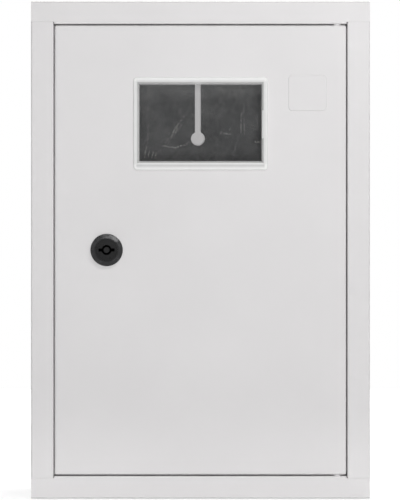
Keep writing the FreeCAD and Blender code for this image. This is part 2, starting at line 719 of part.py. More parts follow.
def cut_crosses(body, places, face, inward):
    """Cut a cross recess into each screw head; inward is 1 where the recess runs towards the wall, or -1."""
    long_half = dim.cross_span / 2
    short_half = dim.cross_width / 2
    for half_x, half_z in ((long_half, short_half), (short_half, long_half)):
        bars = [rectangle(x - half_x, x + half_x, z - half_z, z + half_z) for x, z in places]
        pocket(body, "XZ", face, face + dim.cross_depth * inward, bars)


def make_rail_screws():
    body = new_body("rail_screws")
    pad(body, "XZ", rail_web, rail_web - dim.rail_screw_head,
        [circle(x, z, dim.rail_screw_head_bore) for x, z in screw_places])
    pad(body, "XZ", rail_web, rail_web + dim.rail_screw_reach,
        [circle(x, z, dim.rail_screw_bore) for x, z in screw_places])
    cut_crosses(body, screw_places, rail_web - dim.rail_screw_head, 1)
    return body


# Terminal bars
bar_back = wall_face - dim.bar_foot_depth
bar_front = bar_back - dim.bar_depth
bar_middle = bar_back - dim.bar_depth / 2
bar_z = dim.bar_rise_z - half_height


def make_terminal_bar(prefix, side):
    """A drilled bar on two feet, with a clamping screw over each wire hole."""
    middle = dim.bar_place_x * side
    low = bar_z - dim.bar_height / 2
    high = low + dim.bar_height
    ends = (middle - dim.bar_length / 2, middle + dim.bar_length / 2)
    first_x = middle - dim.bar_hole_spacing * (dim.bar_count - 1) / 2
    bar = new_body(prefix + "_bar")
    pad(bar, "XZ", bar_back, bar_front, [rectangle(ends[0], ends[1], low, high)])
    wire_hole = [circle(first_x, bar_middle, dim.bar_wire_bore)]
    wire = pocket(bar, "XY", high + CUT_MARGIN, low - CUT_MARGIN, wire_hole)
    repeat(bar, dim.bar_count, dim.bar_hole_spacing, wire)
    tapped = [circle(first_x, bar_z, dim.bar_screw_bore + dim.bar_screw_play * 2)]
    hole = pocket(bar, "XZ", bar_front - CUT_MARGIN, bar_middle, tapped)
    repeat(bar, dim.bar_count, dim.bar_hole_spacing, hole)
    screws = new_body(prefix + "_screws")
    screw_front = bar_front - dim.bar_screw_proud
    screw_back = bar_front + dim.bar_screw_reach
    pad(screws, "XZ", screw_back, screw_front, [circle(first_x, bar_z, dim.bar_screw_bore)])
    slit_half = dim.bar_screw_slit / 2
    slit = rectangle(first_x - dim.bar_screw_bore, first_x + dim.bar_screw_bore,
                     bar_z - slit_half, bar_z + slit_half)
    pocket(screws, "XZ", screw_front - CUT_MARGIN, screw_front + dim.bar_screw_slit, [slit])
    repeat(screws, dim.bar_count, dim.bar_hole_spacing)
    feet = new_body(prefix + "_feet")
    inset = dim.bar_foot_inset
    blocks = [(ends[0] + inset, ends[0] + inset + dim.bar_foot_width),
              (ends[1] - inset - dim.bar_foot_width, ends[1] - inset)]
    half = dim.bar_foot_height / 2
    pad(feet, "XZ", wall_face, bar_back,
        [rectangle(left, right, bar_z - half, bar_z + half) for left, right in blocks])
    return [bar, screws, feet]


def make_earth_point(prefix, x, z, seat, direction):
    """A welded stud with a washer and a nut; the direction is -1 towards the front and 1 towards the wall."""
    washer_end = seat + dim.earth_washer_thick * direction
    nut_end = washer_end + dim.earth_nut_thick * direction
    bore = dim.earth_stud_bore + dim.stud_play * 2
    stud = new_body(prefix + "_stud")
    pad(stud, "XZ", seat, seat + dim.earth_stud_length * direction, [circle(x, z, dim.earth_stud_bore)])
    washer = new_body(prefix + "_washer")
    pad(washer, "XZ", seat, washer_end, [circle(x, z, dim.earth_washer_bore), circle(x, z, bore)])
    nut = new_body(prefix + "_nut")
    pad(nut, "XZ", washer_end, nut_end, [hexagon(x, z, dim.earth_nut_across), circle(x, z, bore)])
    return [stud, washer, nut]


# Door, window and lock
tray_left = dim.window_rim_side - dim.window_width / 2
tray_right = dim.window_width / 2 - dim.window_rim_side
rim_high = door_z - dim.window_inset
rim_low = rim_high - dim.window_height
tray_low = rim_low + dim.window_rim_foot
tray_high = rim_high - dim.window_rim_top
rim_front = front - dim.window_proud
pane_front = rim_front + dim.window_recess
pane_back = pane_front + dim.window_pane_thick
barrel_hole = dim.lock_barrel_bore + dim.lock_hole_play * 2
lock_x = dim.lock_inset - door_x
lock_axis = (lock_x, dim.lock_place_z)


def make_door_panel():
    """A folded tray with open corners, a window cut-out, a lock hole and a plain pressed pad."""
    body = new_body("door_panel")
    pad(body, "XZ", front, door_fold_end, [rectangle(-door_x, door_x, -door_z, door_z)])
    on_front = lambda edge: lies_at(edge, y=front)
    dress(body, "Fillet", lambda edge: on_front(edge) or runs_along(edge, "Y"), dim.door_bend)
    inner_x = door_x - dim.sheet
    inner_z = door_z - dim.sheet
    pocket(body, "XZ", door_fold_end, door_back, [rectangle(-inner_x, inner_x, -inner_z, inner_z)])
    in_corner = bends("Y", "xz", [(x, z) for x in mirrored_pair(inner_x) for z in mirrored_pair(inner_z)])
    inside_bend = lambda edge: in_corner(edge) or lies_at(edge, y=door_back)
    dress(body, "Fillet", inside_bend, dim.door_bend - dim.sheet)
    slit_x = door_x - dim.door_corner_slit
    slit_z = door_z - dim.door_corner_slit
    slits = []
    for across in (-1, 1):
        for up in (-1, 1):
            slits.append(rectangle(*sorted_pair(slit_x * across, (door_x + CUT_MARGIN) * across),
                                   *sorted_pair(slit_z * up, (door_z + CUT_MARGIN) * up)))
    pocket(body, "XZ", front + dim.door_corner_web, door_fold_end + CUT_MARGIN, slits)
    play = dim.window_play
    cutout = rounded_rectangle(tray_left - play, tray_right + play, tray_low - play, tray_high + play,
                               dim.window_tray_corner)
    lock_hole = circle(*lock_axis, barrel_hole)
    pocket(body, "XZ", front - CUT_MARGIN, door_back + CUT_MARGIN, [cutout, lock_hole])
    pocket(body, "XY", door_z + CUT_MARGIN, -door_z - CUT_MARGIN, [circle(hinge_x, hinge_y, hinge_hole)])
    pad_right = door_x - dim.pad_inset_x + dim.pad_width / 2
    pad_top = door_z - dim.pad_inset_z + dim.pad_height / 2
    pad_box = [pad_right - dim.pad_width, pad_right, pad_top - dim.pad_height, pad_top]
    pad(body, "XZ", front, front - dim.pad_rise, [rounded_rectangle(*pad_box, dim.pad_radius)])
    dress(body, "Chamfer", lambda edge: lies_at(edge, y=front - dim.pad_rise), dim.pad_bevel)
    wall = dim.pad_wall
    hollow_box = [pad_box[0] + wall, pad_box[1] - wall, pad_box[2] + wall, pad_box[3] - wall]
    hollow = rounded_rectangle(*hollow_box, dim.pad_radius - wall)
    pocket(body, "XZ", door_back, door_back - dim.pad_rise, [hollow])
    return body


def make_window_pane():
    """One clear moulding: a rim on the door, a tray through the cut-out, the pane and two snap tabs."""
    body = new_body("window_pane")
    rim = rounded_rectangle(-dim.window_width / 2, dim.window_width / 2, rim_low, rim_high, dim.window_corner)
    pad(body, "XZ", front, rim_front, [rim])
    dress(body, "Fillet", lambda edge: lies_at(edge, y=rim_front), dim.window_rim_round)
    tray = rounded_rectangle(tray_left, tray_right, tray_low, tray_high, dim.window_tray_corner)
    pad(body, "XZ", front, pane_back, [tray])
    wall = dim.window_tray_wall
    hollow = rectangle(tray_left + wall, tray_right - wall, tray_low + wall, tray_high - wall)
    pocket(body, "XZ", rim_front - CUT_MARGIN, pane_front, [hollow])
    mouth = lambda edge: lies_at(edge, y=rim_front) and abs(edge.BoundBox.Center.x) < tray_right.value \
        and tray_low.value < edge.BoundBox.Center.z < tray_high.value
    dress(body, "Chamfer", mouth, dim.window_bevel)
    hook_front = door_back + dim.snap_play
    hook_back = hook_front + dim.snap_height
    tip = dim.window_play + dim.snap_hook
    middle = (tray_low + tray_high) / 2
    root = dim.window_tray_wall / 2
    right = polygon([(tray_right - root, hook_front), (tray_right + tip, hook_front),
                     (tray_right, hook_back), (tray_right - root, hook_back)])
    left = polygon([(tray_left + root, hook_front), (tray_left + root, hook_back),
                    (tray_left, hook_back), (tray_left - tip, hook_front)])
    pad(body, "XY", middle - dim.snap_length / 2, middle + dim.snap_length / 2, [right, left])
    return body


head_front = front - dim.lock_head_proud
face_front = head_front + dim.lock_face_sunk
face_back = face_front + dim.lock_face_thick
cam_front = lip_end + dim.cam_catch_play
cam_back = cam_front + dim.cam_thick
barrel_end = cam_front - dim.cam_barrel_play
cam_washer_back = cam_back + dim.cam_washer_thick
cam_screw_hole = dim.cam_screw_bore + dim.cam_screw_play * 2


def make_lock_housing():
    """Black lock body: bevelled head on the door, and a barrel through it."""
    body = new_body("lock_housing")
    bore = dim.lock_shaft_bore / 2 + dim.lock_play
    recess = dim.lock_face_bore / 2 + dim.lock_play
    ledge = face_back + dim.lock_play
    head = dim.lock_head_bore / 2
    barrel = dim.lock_barrel_bore / 2
    edge_front = front - dim.lock_head_edge
    profile = [(bore, barrel_end), (barrel, barrel_end), (barrel, front), (head, front), (head, edge_front),
               (dim.lock_ring_bore / 2, head_front), (recess, head_front), (recess, ledge), (bore, ledge)]
    revolve(body, "Y", lock_axis, profile)
    bevel = lambda edge: lies_at(edge, y=edge_front) or (
        lies_at(edge, y=head_front) and edge.BoundBox.XLength > dim.lock_ring_bore.value - NEAR)
    dress(body, "Chamfer", bevel, dim.lock_head_break)
    return body


def make_lock_nut():
    body = new_body("lock_nut")
    x, z = lock_axis
    outline = [hexagon(x, z, dim.lock_nut_across), circle(x, z, barrel_hole)]
    pad(body, "XZ", door_back, door_back + dim.lock_nut_thick, outline)
    return body


def make_lock_rotor():
    """The turning core: face with the key hole, shaft, and a square tail for the cam."""
    body = new_body("lock_rotor")
    x, z = lock_axis
    face = dim.lock_face_bore / 2
    shaft = dim.lock_shaft_bore / 2
    profile = [(zero, face_front), (face, face_front), (face, face_back), (shaft, face_back),
               (shaft, cam_front), (zero, cam_front)]
    revolve(body, "Y", lock_axis, profile)
    half_square = dim.cam_square / 2
    square = rectangle(x - half_square, x + half_square, z - half_square, z + half_square)
    pad(body, "XZ", cam_front, cam_back - dim.cam_square_play, [square])
    key_end = face_front + dim.key_depth
    half_span = dim.key_wing_span / 2
    half_wing = dim.key_wing_width / 2
    wings = rectangle(x - half_span, x + half_span, z - half_wing, z + half_wing)
    pocket(body, "XZ", face_front, key_end, [circle(x, z, dim.key_bore)])
    pocket(body, "XZ", face_front, key_end, [wings])
    pad(body, "XZ", key_end, face_front + dim.key_pin_sunk, [circle(x, z, dim.key_pin_bore)])
    thread = circle(x, z, cam_screw_hole)
    pocket(body, "XZ", cam_back + CUT_MARGIN, cam_washer_back - dim.cam_screw_reach - CUT_MARGIN, [thread])
    return body


def make_cam_parts():
    """Flat cam on the square tail, with its washer and screw. At rest it hangs down, which is unlocked."""
    x, z = lock_axis
    cam = new_body("lock_cam")
    half = dim.cam_width / 2
    reach = opening_x + lock_x + dim.cam_overlap - half
    pad(cam, "XZ", cam_front, cam_back, [rounded([(x, z - reach), (x, z)], half)])
    hole = dim.cam_square / 2 + dim.cam_square_play
    square = rectangle(x - hole, x + hole, z - hole, z + hole)
    pocket(cam, "XZ", cam_front - CUT_MARGIN, cam_back + CUT_MARGIN, [square])
    washer = new_body("cam_washer")
    ring = [circle(x, z, dim.cam_washer_bore), circle(x, z, cam_screw_hole)]
    pad(washer, "XZ", cam_back, cam_washer_back, ring)
    screw = new_body("cam_screw")
    shank = dim.cam_screw_bore / 2
    head = dim.cam_head_bore / 2
    head_end = cam_washer_back + dim.cam_head_height
    tip = cam_washer_back - dim.cam_screw_reach
    profile = [(zero, tip), (shank, tip), (shank, cam_washer_back), (head, cam_washer_back),
               (head, head_end), (zero, head_end)]
    revolve(screw, "Y", lock_axis, profile)
    cut_crosses(screw, [lock_axis], head_end, -1)
    return [cam, washer, screw]


def make_all():
    pieces = [make_back_wrap()]
    pieces.append(make_side_panel("left_side_panel", -1, True))
    pieces.append(make_side_panel("right_side_panel", 1, False))
    pieces.append(make_hinge_pin("upper_hinge_pin", 1))
    pieces.append(make_hinge_pin("lower_hinge_pin", -1))
    pieces.append(make_hinge_washers())
    pieces.append(make_meter_board())
    pieces += make_board_hardware()
    pieces += [make_din_rail(), make_rail_brackets(), make_rail_screws()]
    pieces += make_terminal_bar("neutral", -1)
    pieces += make_terminal_bar("earth", 1)
    pieces += make_earth_point("earth", zero, dim.earth_rise_z - half_height, wall_face, -1)
    door_earth_x = door_x - dim.door_earth_inset_x
    door_earth_z = dim.door_earth_inset_z - door_z
    pieces += make_earth_point("door_earth", door_earth_x, door_earth_z, door_back, 1)
    pieces += [make_door_panel(), make_window_pane()]
    pieces += [make_lock_housing(), make_lock_nut(), make_lock_rotor()]
    pieces += make_cam_parts()
    return pieces


def check_and_write(pieces):
    """Refuse any failed object or empty shape, then write one file for each piece."""
    doc.recompute()
    for item in doc.Objects:
        if "Invalid" in item.State or "Error" in item.State:
            raise RuntimeError("%s failed: %s" % (item.Label, item.State))
    for piece in pieces:
        if piece.Shape.isNull() or not piece.Shape.isValid():
            raise RuntimeError("%s has no valid shape" % piece.Label)
    os.makedirs("parts", exist_ok=True)
    for piece in pieces:
        piece.Shape.exportStep("parts/%s.step" % piece.Label)


check_and_write(make_all())
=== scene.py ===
"""Finishes and studio for a sheet-steel electric meter box, laid out as an add-on and run as a script."""

import json
import math

import bpy
from bpy.props import FloatProperty, FloatVectorProperty, PointerProperty
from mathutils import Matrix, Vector


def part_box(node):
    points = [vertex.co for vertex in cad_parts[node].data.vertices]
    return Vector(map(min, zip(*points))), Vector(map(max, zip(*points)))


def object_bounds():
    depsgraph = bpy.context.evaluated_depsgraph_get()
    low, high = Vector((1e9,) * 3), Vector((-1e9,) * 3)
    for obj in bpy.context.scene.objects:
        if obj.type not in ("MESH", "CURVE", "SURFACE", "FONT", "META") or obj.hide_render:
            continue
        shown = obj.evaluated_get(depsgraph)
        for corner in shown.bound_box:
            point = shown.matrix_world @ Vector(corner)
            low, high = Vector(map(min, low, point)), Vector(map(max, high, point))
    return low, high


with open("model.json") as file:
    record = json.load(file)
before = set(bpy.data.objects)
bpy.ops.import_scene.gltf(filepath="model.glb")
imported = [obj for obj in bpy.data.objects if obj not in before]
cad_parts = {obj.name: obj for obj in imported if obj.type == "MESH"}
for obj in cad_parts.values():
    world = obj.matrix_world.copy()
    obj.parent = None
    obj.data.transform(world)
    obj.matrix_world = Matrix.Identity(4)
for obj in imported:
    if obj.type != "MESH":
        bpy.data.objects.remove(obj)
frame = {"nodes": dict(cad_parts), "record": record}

bl_info = {
    "name": "Electric Meter Box Finish",
    "version": (1, 0, 0),
    "blender": (4, 5, 0),
    "location": "View3D > Sidebar > Meter Box",
    "description": "Powder coat, clear window, lock, board, metal fittings and a studio for a meter box",
    "category": "Material",
}

CAD_BOX = [list(corner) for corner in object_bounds()]
NODES = frame["nodes"]
SLOT_COLOURS = {row["slot"]: tuple(row["base_color"][:3]) for row in frame["record"]["materials"]}

# The image that the camera is framed for: its height in pixels, and what one pixel covers on the box's front
IMAGE_HEIGHT = 500
MILLIMETRES_PER_PIXEL = 0.885

# The front of the box without the lock, as its Y
BOX_FRONT = -0.15

# The inner face of the back wall, as its Y, and how far in front of it the painted light on that face begins
# and is whole
BACK_WALL = -0.001
BACK_WALL_LIGHT_BEGINS = 0.0006
BACK_WALL_LIGHT_WHOLE = 0.0001

# The window's tray and its clear pane, as half widths and half heights, and how softly each ends
TRAY_HALF = (0.0557, 0.0357)
TRAY_SOFTNESS = 0.0003
PANE_HALF = (0.0535, 0.0333)
PANE_SOFTNESS = 0.0016

# The rise of the tray's middle in the window's rim
WINDOW_RISE = 0.0008

# The window's snap tabs: the X and Z of their middle, their half sizes, and how much of each side's shows
TAB_PLACE = (0.0556, 0.1112)
TAB_HALF = (0.0006, 0.0120)
TAB_SOFTNESS = 0.0012
TAB_SHARES = {-1: 0.55, 1: 1.0}

# The painted reflection at the top of the pane: where it begins and is whole below the window's top, and its
# strength
REFLECTION_BEGINS = 0.021
REFLECTION_WHOLE = 0.006
REFLECTION_STRENGTH = 0.023

# The lock's rotor: how far behind its face the painted shade in the key hole begins, and how it differs from
# the housing
KEY_HOLE_LIP = 0.0012
ROTOR_SHADE = 0.7
ROTOR_ROUGHER = 0.05

# The lengths over which the painted shade in the key hole, a thread and the painted sheen on the lock's bevel
# come in
DEEP_SHADE_FADE = 0.0015
THREAD_FADE = 0.0005
SHEEN_RING_FADE = 0.001

# The height of the fine grain of plastic, board and metal, and how many grains high a thread is
GRAIN_DEPTH = 0.00002
PLASTIC_THREAD_GRAINS = 12.0
METAL_THREAD_GRAINS = 14.0

# Mean roughness of the fittings' finishes
ROUGHNESS = {
    "lock_zinc_plate": 0.34,
    "board_zinc_plate": 0.32,
    "board_stud_thread": 0.34,
    "rail_zinc_plate": 0.36,
    "screw_zinc_plate": 0.30,
    "earth_stud_thread": 0.34,
    "terminal_brass": 0.30,
    "spacer_plastic": 0.50,
    "neutral_blue_plastic": 0.42,
    "earth_green_plastic": 0.42,
}

# Streaks of drawn and plated metal, as noise cells in a metre along X, Y and Z
STREAKS_UPRIGHT = (1500.0, 1500.0, 60.0)
STREAKS_ON_NUTS = (900.0, 300.0, 900.0)
STREAKS_ON_SCREWS = (700.0, 300.0, 700.0)
STREAKS_ALONG_RAIL = (25.0, 1500.0, 1500.0)
STREAKS_ALONG_BAR = (30.0, 1500.0, 1500.0)

# Where each rub mark on the meter board runs, as X and Z in metres: start, end, width, strength
BOARD_RUBS = [
    ((-0.0325, 0.1000), (-0.0280, 0.1085), 0.0013, 0.46),
    ((-0.0296, 0.0985), (-0.0262, 0.1062), 0.0010, 0.42),
    ((-0.0268, 0.1052), (-0.0222, 0.1150), 0.0014, 0.88),
    ((-0.0240, 0.1066), (-0.0206, 0.1142), 0.0012, 0.99),
    ((-0.0228, 0.1128), (-0.0184, 0.1196), 0.0014, 0.77),
    ((-0.0206, 0.1100), (-0.0176, 0.1160), 0.0010, 0.53),
    ((-0.0190, 0.1168), (-0.0146, 0.1262), 0.0010, 0.44),
    ((-0.0168, 0.1216), (-0.0128, 0.1250), 0.0009, 0.51),
    ((-0.0345, 0.0962), (-0.0228, 0.0946), 0.0014, 0.88),
    ((-0.0228, 0.0946), (-0.0132, 0.0980), 0.0016, 0.83),
    ((-0.0132, 0.0980), (-0.0060, 0.1012), 0.0016, 0.37),
    ((-0.0518, 0.0862), (-0.0500, 0.0948), 0.0014, 1.00),
    ((-0.0484, 0.0872), (-0.0474, 0.0910), 0.0012, 0.94),
    ((-0.0446, 0.0862), (-0.0434, 0.0908), 0.0014, 1.00),
    ((-0.0418, 0.0858), (-0.0412, 0.0896), 0.0013, 0.99),
    ((-0.0388, 0.0912), (-0.0368, 0.0924), 0.0012, 0.66),
    ((0.0374, 0.1085), (0.0380, 0.1270), 0.0012, 0.68),
    ((0.0408, 0.1070), (0.0402, 0.1225), 0.0010, 0.55),
    ((0.0398, 0.1240), (0.0404, 0.1360), 0.0010, 0.40),
    ((0.0188, 0.1070), (0.0192, 0.1095), 0.0010, 0.72),
    ((0.0212, 0.1082), (0.0272, 0.1070), 0.0012, 0.79),
    ((0.0512, 0.1002), (0.0552, 0.0998), 0.0016, 1.00),
    ((-0.0486, 0.0985), (-0.0484, 0.1165), 0.0009, 0.50),
    ((-0.0520, 0.1305), (-0.0460, 0.1300), 0.0009, 0.40),
    ((0.0318, 0.0905), (0.0322, 0.0965), 0.0010, 0.50),
]

# The floor: half its width, its gap under the box, and how far from the middle its glow begins and is whole
FLOOR_REACH = 2.2
FLOOR_GAP = 0.0002
GLOW_BEGINS = 0.5
GLOW_WHOLE = 1.8

# The width and height of each lamp
LAMP_SIZES = {
    "front_softbox": (0.4, 0.4),
    "key_softbox": (0.3, 0.3),
    "upper_softbox": (0.16, 0.12),
    "sheen_panel": (0.3, 0.1),
    "top_softbox": (0.6, 0.3),
    "low_strip_light": (0.6, 0.05),
    "left_back_softbox": (0.8, 0.8),
    "right_back_softbox": (0.8, 0.8),
}

# Lamps before the box, as their place from the middle of its front
FRONT_LAMP = (0.06, -3.0, -0.08)
KEY_LAMP = (0.4, -1.3, 1.5)
UPPER_LAMP = (0.25, -0.4, 0.5)

# How far before the box the sheen panel hangs, level with the lid
SHEEN_STANDOFF = 0.2

# The strip lamp, as its place from the foot of the front, and the angle that it spreads over
STRIP_LAMP = (0.0, -0.25, 0.05)
STRIP_SPREAD = math.radians(40.0)

# The lamp over the box and the two behind it, as their place in the frame, and what those behind are aimed at
TOP_LAMP = (0.12, 0.4, 1.5)
BACK_LAMPS = {"left_back_softbox": (-1.25, 1.1, 1.0), "right_back_softbox": (1.25, 1.1, 1.0)}
BACK_LAMP_TARGET = (0.0, 0.0, 0.0)

# The whole range of a mask, and the range in which most of a noise lies
WHOLE = (0.0, 1.0)
NOISE_SPAN = (0.3, 0.7)

# What flattens a place onto the front, and a half depth that reaches past the whole box
ONTO_FRONT = (1.0, 0.0, 1.0)
ANY_DEPTH = 1.0

# The colour sockets of a Mix node, whose names are also those of its sockets for other data
MIX_INPUTS = (0, 6, 7)
MIX_RESULT = 2


# Settings that a user would change

def colour_setting(title, meaning, value):
    return FloatVectorProperty(name=title, description=meaning, subtype="COLOR", size=3, min=0.0, max=1.0,
                               default=value)


def share_setting(title, meaning, value):
    return FloatProperty(name=title, description=meaning, subtype="FACTOR", min=0.0, max=1.0, default=value)


def times_setting(title, meaning, value, highest):
    return FloatProperty(name=title, description=meaning, subtype="FACTOR", min=0.5, max=highest,
                         default=value)


def length_setting(title, meaning, value):
    return FloatProperty(name=title, description=meaning, subtype="DISTANCE", unit="LENGTH", min=0.0,
                         default=value)


def place_setting(title, meaning, value):
    return FloatProperty(name=title, description=meaning, subtype="DISTANCE", unit="LENGTH", default=value)


def power_setting(title, meaning, value):
    return FloatProperty(name=title, description=meaning, subtype="POWER", unit="POWER", min=0.0,
                         default=value)


class PowderCoatSettings(bpy.types.PropertyGroup):
    colour: colour_setting("Colour", "Colour of the powder coat", SLOT_COLOURS["cabinet_paint"])
    roughness: share_setting("Roughness", "Mean roughness of the powder coat", 0.46)
    # Painted light: how much lighter the inner face of the back wall is painted, as if it were lit more
    # brightly
    back_wall_painted_light: times_setting("Back wall painted light", "Lightness of the painted light on the inner face of the back wall", 1.15,
                                   highest=1.5)
    peel_size: length_setting("Peel size", "Spacing of the orange peel", 0.0011)
    peel_depth: length_setting("Peel depth", "Height of the orange peel", 0.00003)


class WindowSettings(bpy.types.PropertyGroup):
    colour: colour_setting("Colour", "Tint of the clear plastic", SLOT_COLOURS["clear_window"])
    haze: share_setting("Haze", "How much of the pane is veiled", 0.013)
    rim_body: share_setting("Rim body", "How opaque the moulded rim looks", 0.88)
    wall_body: share_setting("Wall body", "How opaque the tray's walls look", 0.40)
    tab_body: share_setting("Tab body", "How opaque the snap tabs look", 0.80)


class LockSettings(bpy.types.PropertyGroup):
    colour: colour_setting("Colour", "Colour of the lock's plastic", SLOT_COLOURS["lock_black"])
    roughness: share_setting("Roughness", "Mean roughness of the lock's plastic", 0.26)
    specular: share_setting("Specular", "Strength of the lock's mirror reflection", 0.18)
    thread_pitch: length_setting("Thread pitch", "Pitch of the thread on the barrel", 0.0015)
    # Painted sheen: a paler ring painted round the lock's bevel, where light would glint on it
    bevel_sheen_share: times_setting("Bevel sheen share", "Lightness of the painted sheen on the head's bevel", 3.4,
                                highest=6.0)
    bevel_width: length_setting("Bevel width", "Width of the painted sheen round the head's bevel", 0.0042)


class BoardSettings(bpy.types.PropertyGroup):
    colour: colour_setting("Colour", "Colour of the meter board", SLOT_COLOURS["board_black"])
    rub_colour: colour_setting("Rub colour", "Colour of the chalky rub marks", (0.50, 0.50, 0.48))
    roughness: share_setting("Roughness", "Mean roughness of the meter board", 0.52)


class FittingSettings(bpy.types.PropertyGroup):
    zinc: colour_setting("Zinc", "Colour of the zinc plate", SLOT_COLOURS["zinc_steel"])
    brass: colour_setting("Brass", "Colour of the terminal bars", SLOT_COLOURS["brass"])
    neutral: colour_setting("Neutral feet", "Colour of the neutral bar's feet",
                            SLOT_COLOURS["blue_insulator"])
    earth: colour_setting("Earth feet", "Colour of the earth bar's feet", SLOT_COLOURS["green_insulator"])
    spacer: colour_setting("Spacers", "Colour of the board's spacers", SLOT_COLOURS["spacer_black"])
    thread_pitch: length_setting("Thread pitch", "Pitch of the threads on the studs", 0.0009)


class StudioSettings(bpy.types.PropertyGroup):
    distance: length_setting("Camera distance", "Camera to the front of the box", 3.0)
    camera_side: place_setting("Camera to the right", "Camera's place beside the middle", -0.0004)
    front_light: power_setting("Front light", "Power of the lamp behind the camera", 51.0)
    key_light: power_setting("Key light", "Power of the far lamp above on the right", 5.0)
    upper_light: power_setting("Upper light", "Power of the near lamp above on the right", 0.85)
    sheen_light: power_setting("Sheen light", "Power of the panel that shows only in the lock", 2.4)
    top_light: power_setting("Top light", "Power of the lamp over the box", 6.0)
    low_light: power_setting("Low light", "Power of the strip lamp at the foot of the box", 0.03)
    back_light: power_setting("Back light", "Power of each lamp behind the box", 17.0)
    surround: share_setting("Surround", "Brightness of the studio round the box", 0.04)
    floor_shade: share_setting("Floor", "Shade of the floor", 0.6)
    floor_glow: share_setting("Floor glow", "How far the floor near the box is lifted to white", 0.58)


class MeterBoxSettings(bpy.types.PropertyGroup):
    powder_coat: PointerProperty(type=PowderCoatSettings)
    window: PointerProperty(type=WindowSettings)
    lock: PointerProperty(type=LockSettings)
    board: PointerProperty(type=BoardSettings)
    fittings: PointerProperty(type=FittingSettings)
    studio: PointerProperty(type=StudioSettings)


# Building node trees

class NodeSheet:
    """Adds nodes to one shader tree and joins them."""

    first_column = -1600
    column_step = 40

    def __init__(self, tree):
        self.tree = tree
        self.column = self.first_column

    def fill(self, socket, value):
        if isinstance(value, bpy.types.NodeSocket):
            self.tree.links.new(value, socket)
        else:
            socket.default_value = value

    def add(self, kind, inputs=None, **settings):
        node = self.tree.nodes.new(kind)
        node.location = (self.column, 0)
        self.column += self.column_step
        for name, value in settings.items():
            setattr(node, name, value)
        for socket, value in (inputs or {}).items():
            self.fill(node.inputs[socket], value)
        return node

    def maths(self, operation, first, second=0.0, third=0.0):
        return self.add("ShaderNodeMath", {0: first, 1: second, 2: third}, operation=operation).outputs[0]

    def product(self, first, second):
        return self.maths("MULTIPLY", first, second)

    def total(self, first, second):
        return self.maths("ADD", first, second)

    def larger(self, first, second):
        return self.maths("MAXIMUM", first, second)

    def weigh(self, share, first, second):
        """The mean of two values, with a share of the first."""
        return self.maths("MULTIPLY_ADD", first, share, self.product(second, 1.0 - share))

    def vector_maths(self, operation, first, second=(0.0, 0.0, 0.0)):
        return self.add("ShaderNodeVectorMath", {0: first, 1: second}, operation=operation)

    def difference(self, first, second):
        return self.vector_maths("SUBTRACT", first, second).outputs["Vector"]

    def stretch(self, vector, scale):
        return self.vector_maths("MULTIPLY", vector, scale).outputs["Vector"]

    def length(self, vector):
        return self.vector_maths("LENGTH", vector).outputs["Value"]

    def dot(self, first, second):
        return self.vector_maths("DOT_PRODUCT", first, second).outputs["Value"]

    def parts(self, vector):
        return self.add("ShaderNodeSeparateXYZ", {"Vector": vector}).outputs

    def remap(self, value, low, high, new_low=0.0, new_high=1.0):
        """A smooth step from one range to another."""
        values = {"Value": value, "From Min": low, "From Max": high, "To Min": new_low, "To Max": new_high}
        return self.add("ShaderNodeMapRange", values, interpolation_type="SMOOTHSTEP").outputs["Result"]

    def noise(self, vector, scale, detail=2.0, roughness=0.5):
        values = {"Vector": vector, "Scale": scale, "Detail": detail, "Roughness": roughness}
        return self.add("ShaderNodeTexNoise", values).outputs["Fac"]

    def blend(self, share, first, second):
        """A colour between two colours."""
        node = self.add("ShaderNodeMix", data_type="RGBA")
        for index, value in zip(MIX_INPUTS, (share, first, second)):
            self.fill(node.inputs[index], value)
        return node.outputs[MIX_RESULT]

    def group(self, name, inputs):
        """The outputs of a shared group with its own inputs; the group is made when it is first asked for."""
        tree = bpy.data.node_groups.get(name) or GROUP_MAKERS[name](name)
        node = self.add("ShaderNodeGroup", node_tree=tree)
        for socket, value in inputs.items():
            self.fill(node.inputs[socket], value)
        return node.outputs


def new_group(name, inputs, outputs):
    """An empty shader group: its sheet, and its inner input and output sockets."""
    tree = bpy.data.node_groups.new(name, "ShaderNodeTree")
    for title, kind, default in inputs:
        socket = tree.interface.new_socket(name=title, in_out="INPUT", socket_type="NodeSocket" + kind)
        if default is not None:
            socket.default_value = default
    for title in outputs:
        tree.interface.new_socket(name=title, in_out="OUTPUT", socket_type="NodeSocketFloat")
    sheet = NodeSheet(tree)
    enter = sheet.add("NodeGroupInput").outputs
    leave = sheet.add("NodeGroupOutput").inputs
    return tree, sheet, enter, leave


def powder_coat_group(name):
    """Orange peel, faint clouds of tone and fine dark specks."""
    cloud_scale = 11.0
    speck_scale = 1900.0
    speck_span = (0.70, 0.78)
    speck_darkness = 0.5
    peel_share = 0.5
    inputs = [("Vector", "Vector", None), ("Peel Scale", "Float", 900.0)]
    tree, sheet, enter, leave = new_group(name, inputs, ["Tone", "Gloss", "Height"])
    peel = sheet.noise(enter["Vector"], enter["Peel Scale"], detail=1.5)
    cloud = sheet.noise(enter["Vector"], cloud_scale, detail=3.0)
    speck = sheet.remap(sheet.noise(enter["Vector"], speck_scale, detail=0.0), *speck_span)
    darkened = sheet.product(speck, speck_darkness)
    sheet.fill(leave["Tone"], sheet.maths("SUBTRACT", sheet.remap(cloud, *NOISE_SPAN), darkened))
    sheet.fill(leave["Gloss"], sheet.weigh(peel_share, peel, cloud))
    sheet.fill(leave["Height"], peel)
    return tree


def moulded_plastic_group(name):
    """The fine spark-eroded grain of a moulding, with soft patches of polish."""
    patch_scale = 120.0
    grain_share = 0.4
    inputs = [("Vector", "Vector", None), ("Grain Scale", "Float", 2200.0)]
    tree, sheet, enter, leave = new_group(name, inputs, ["Tone", "Gloss", "Height"])
    grain = sheet.noise(enter["Vector"], enter["Grain Scale"], detail=2.0)
    patch = sheet.noise(enter["Vector"], patch_scale, detail=3.0)
    sheet.fill(leave["Tone"], sheet.weigh(grain_share, grain, patch))
    sheet.fill(leave["Gloss"], sheet.remap(patch, *NOISE_SPAN))
    sheet.fill(leave["Height"], grain)
    return tree


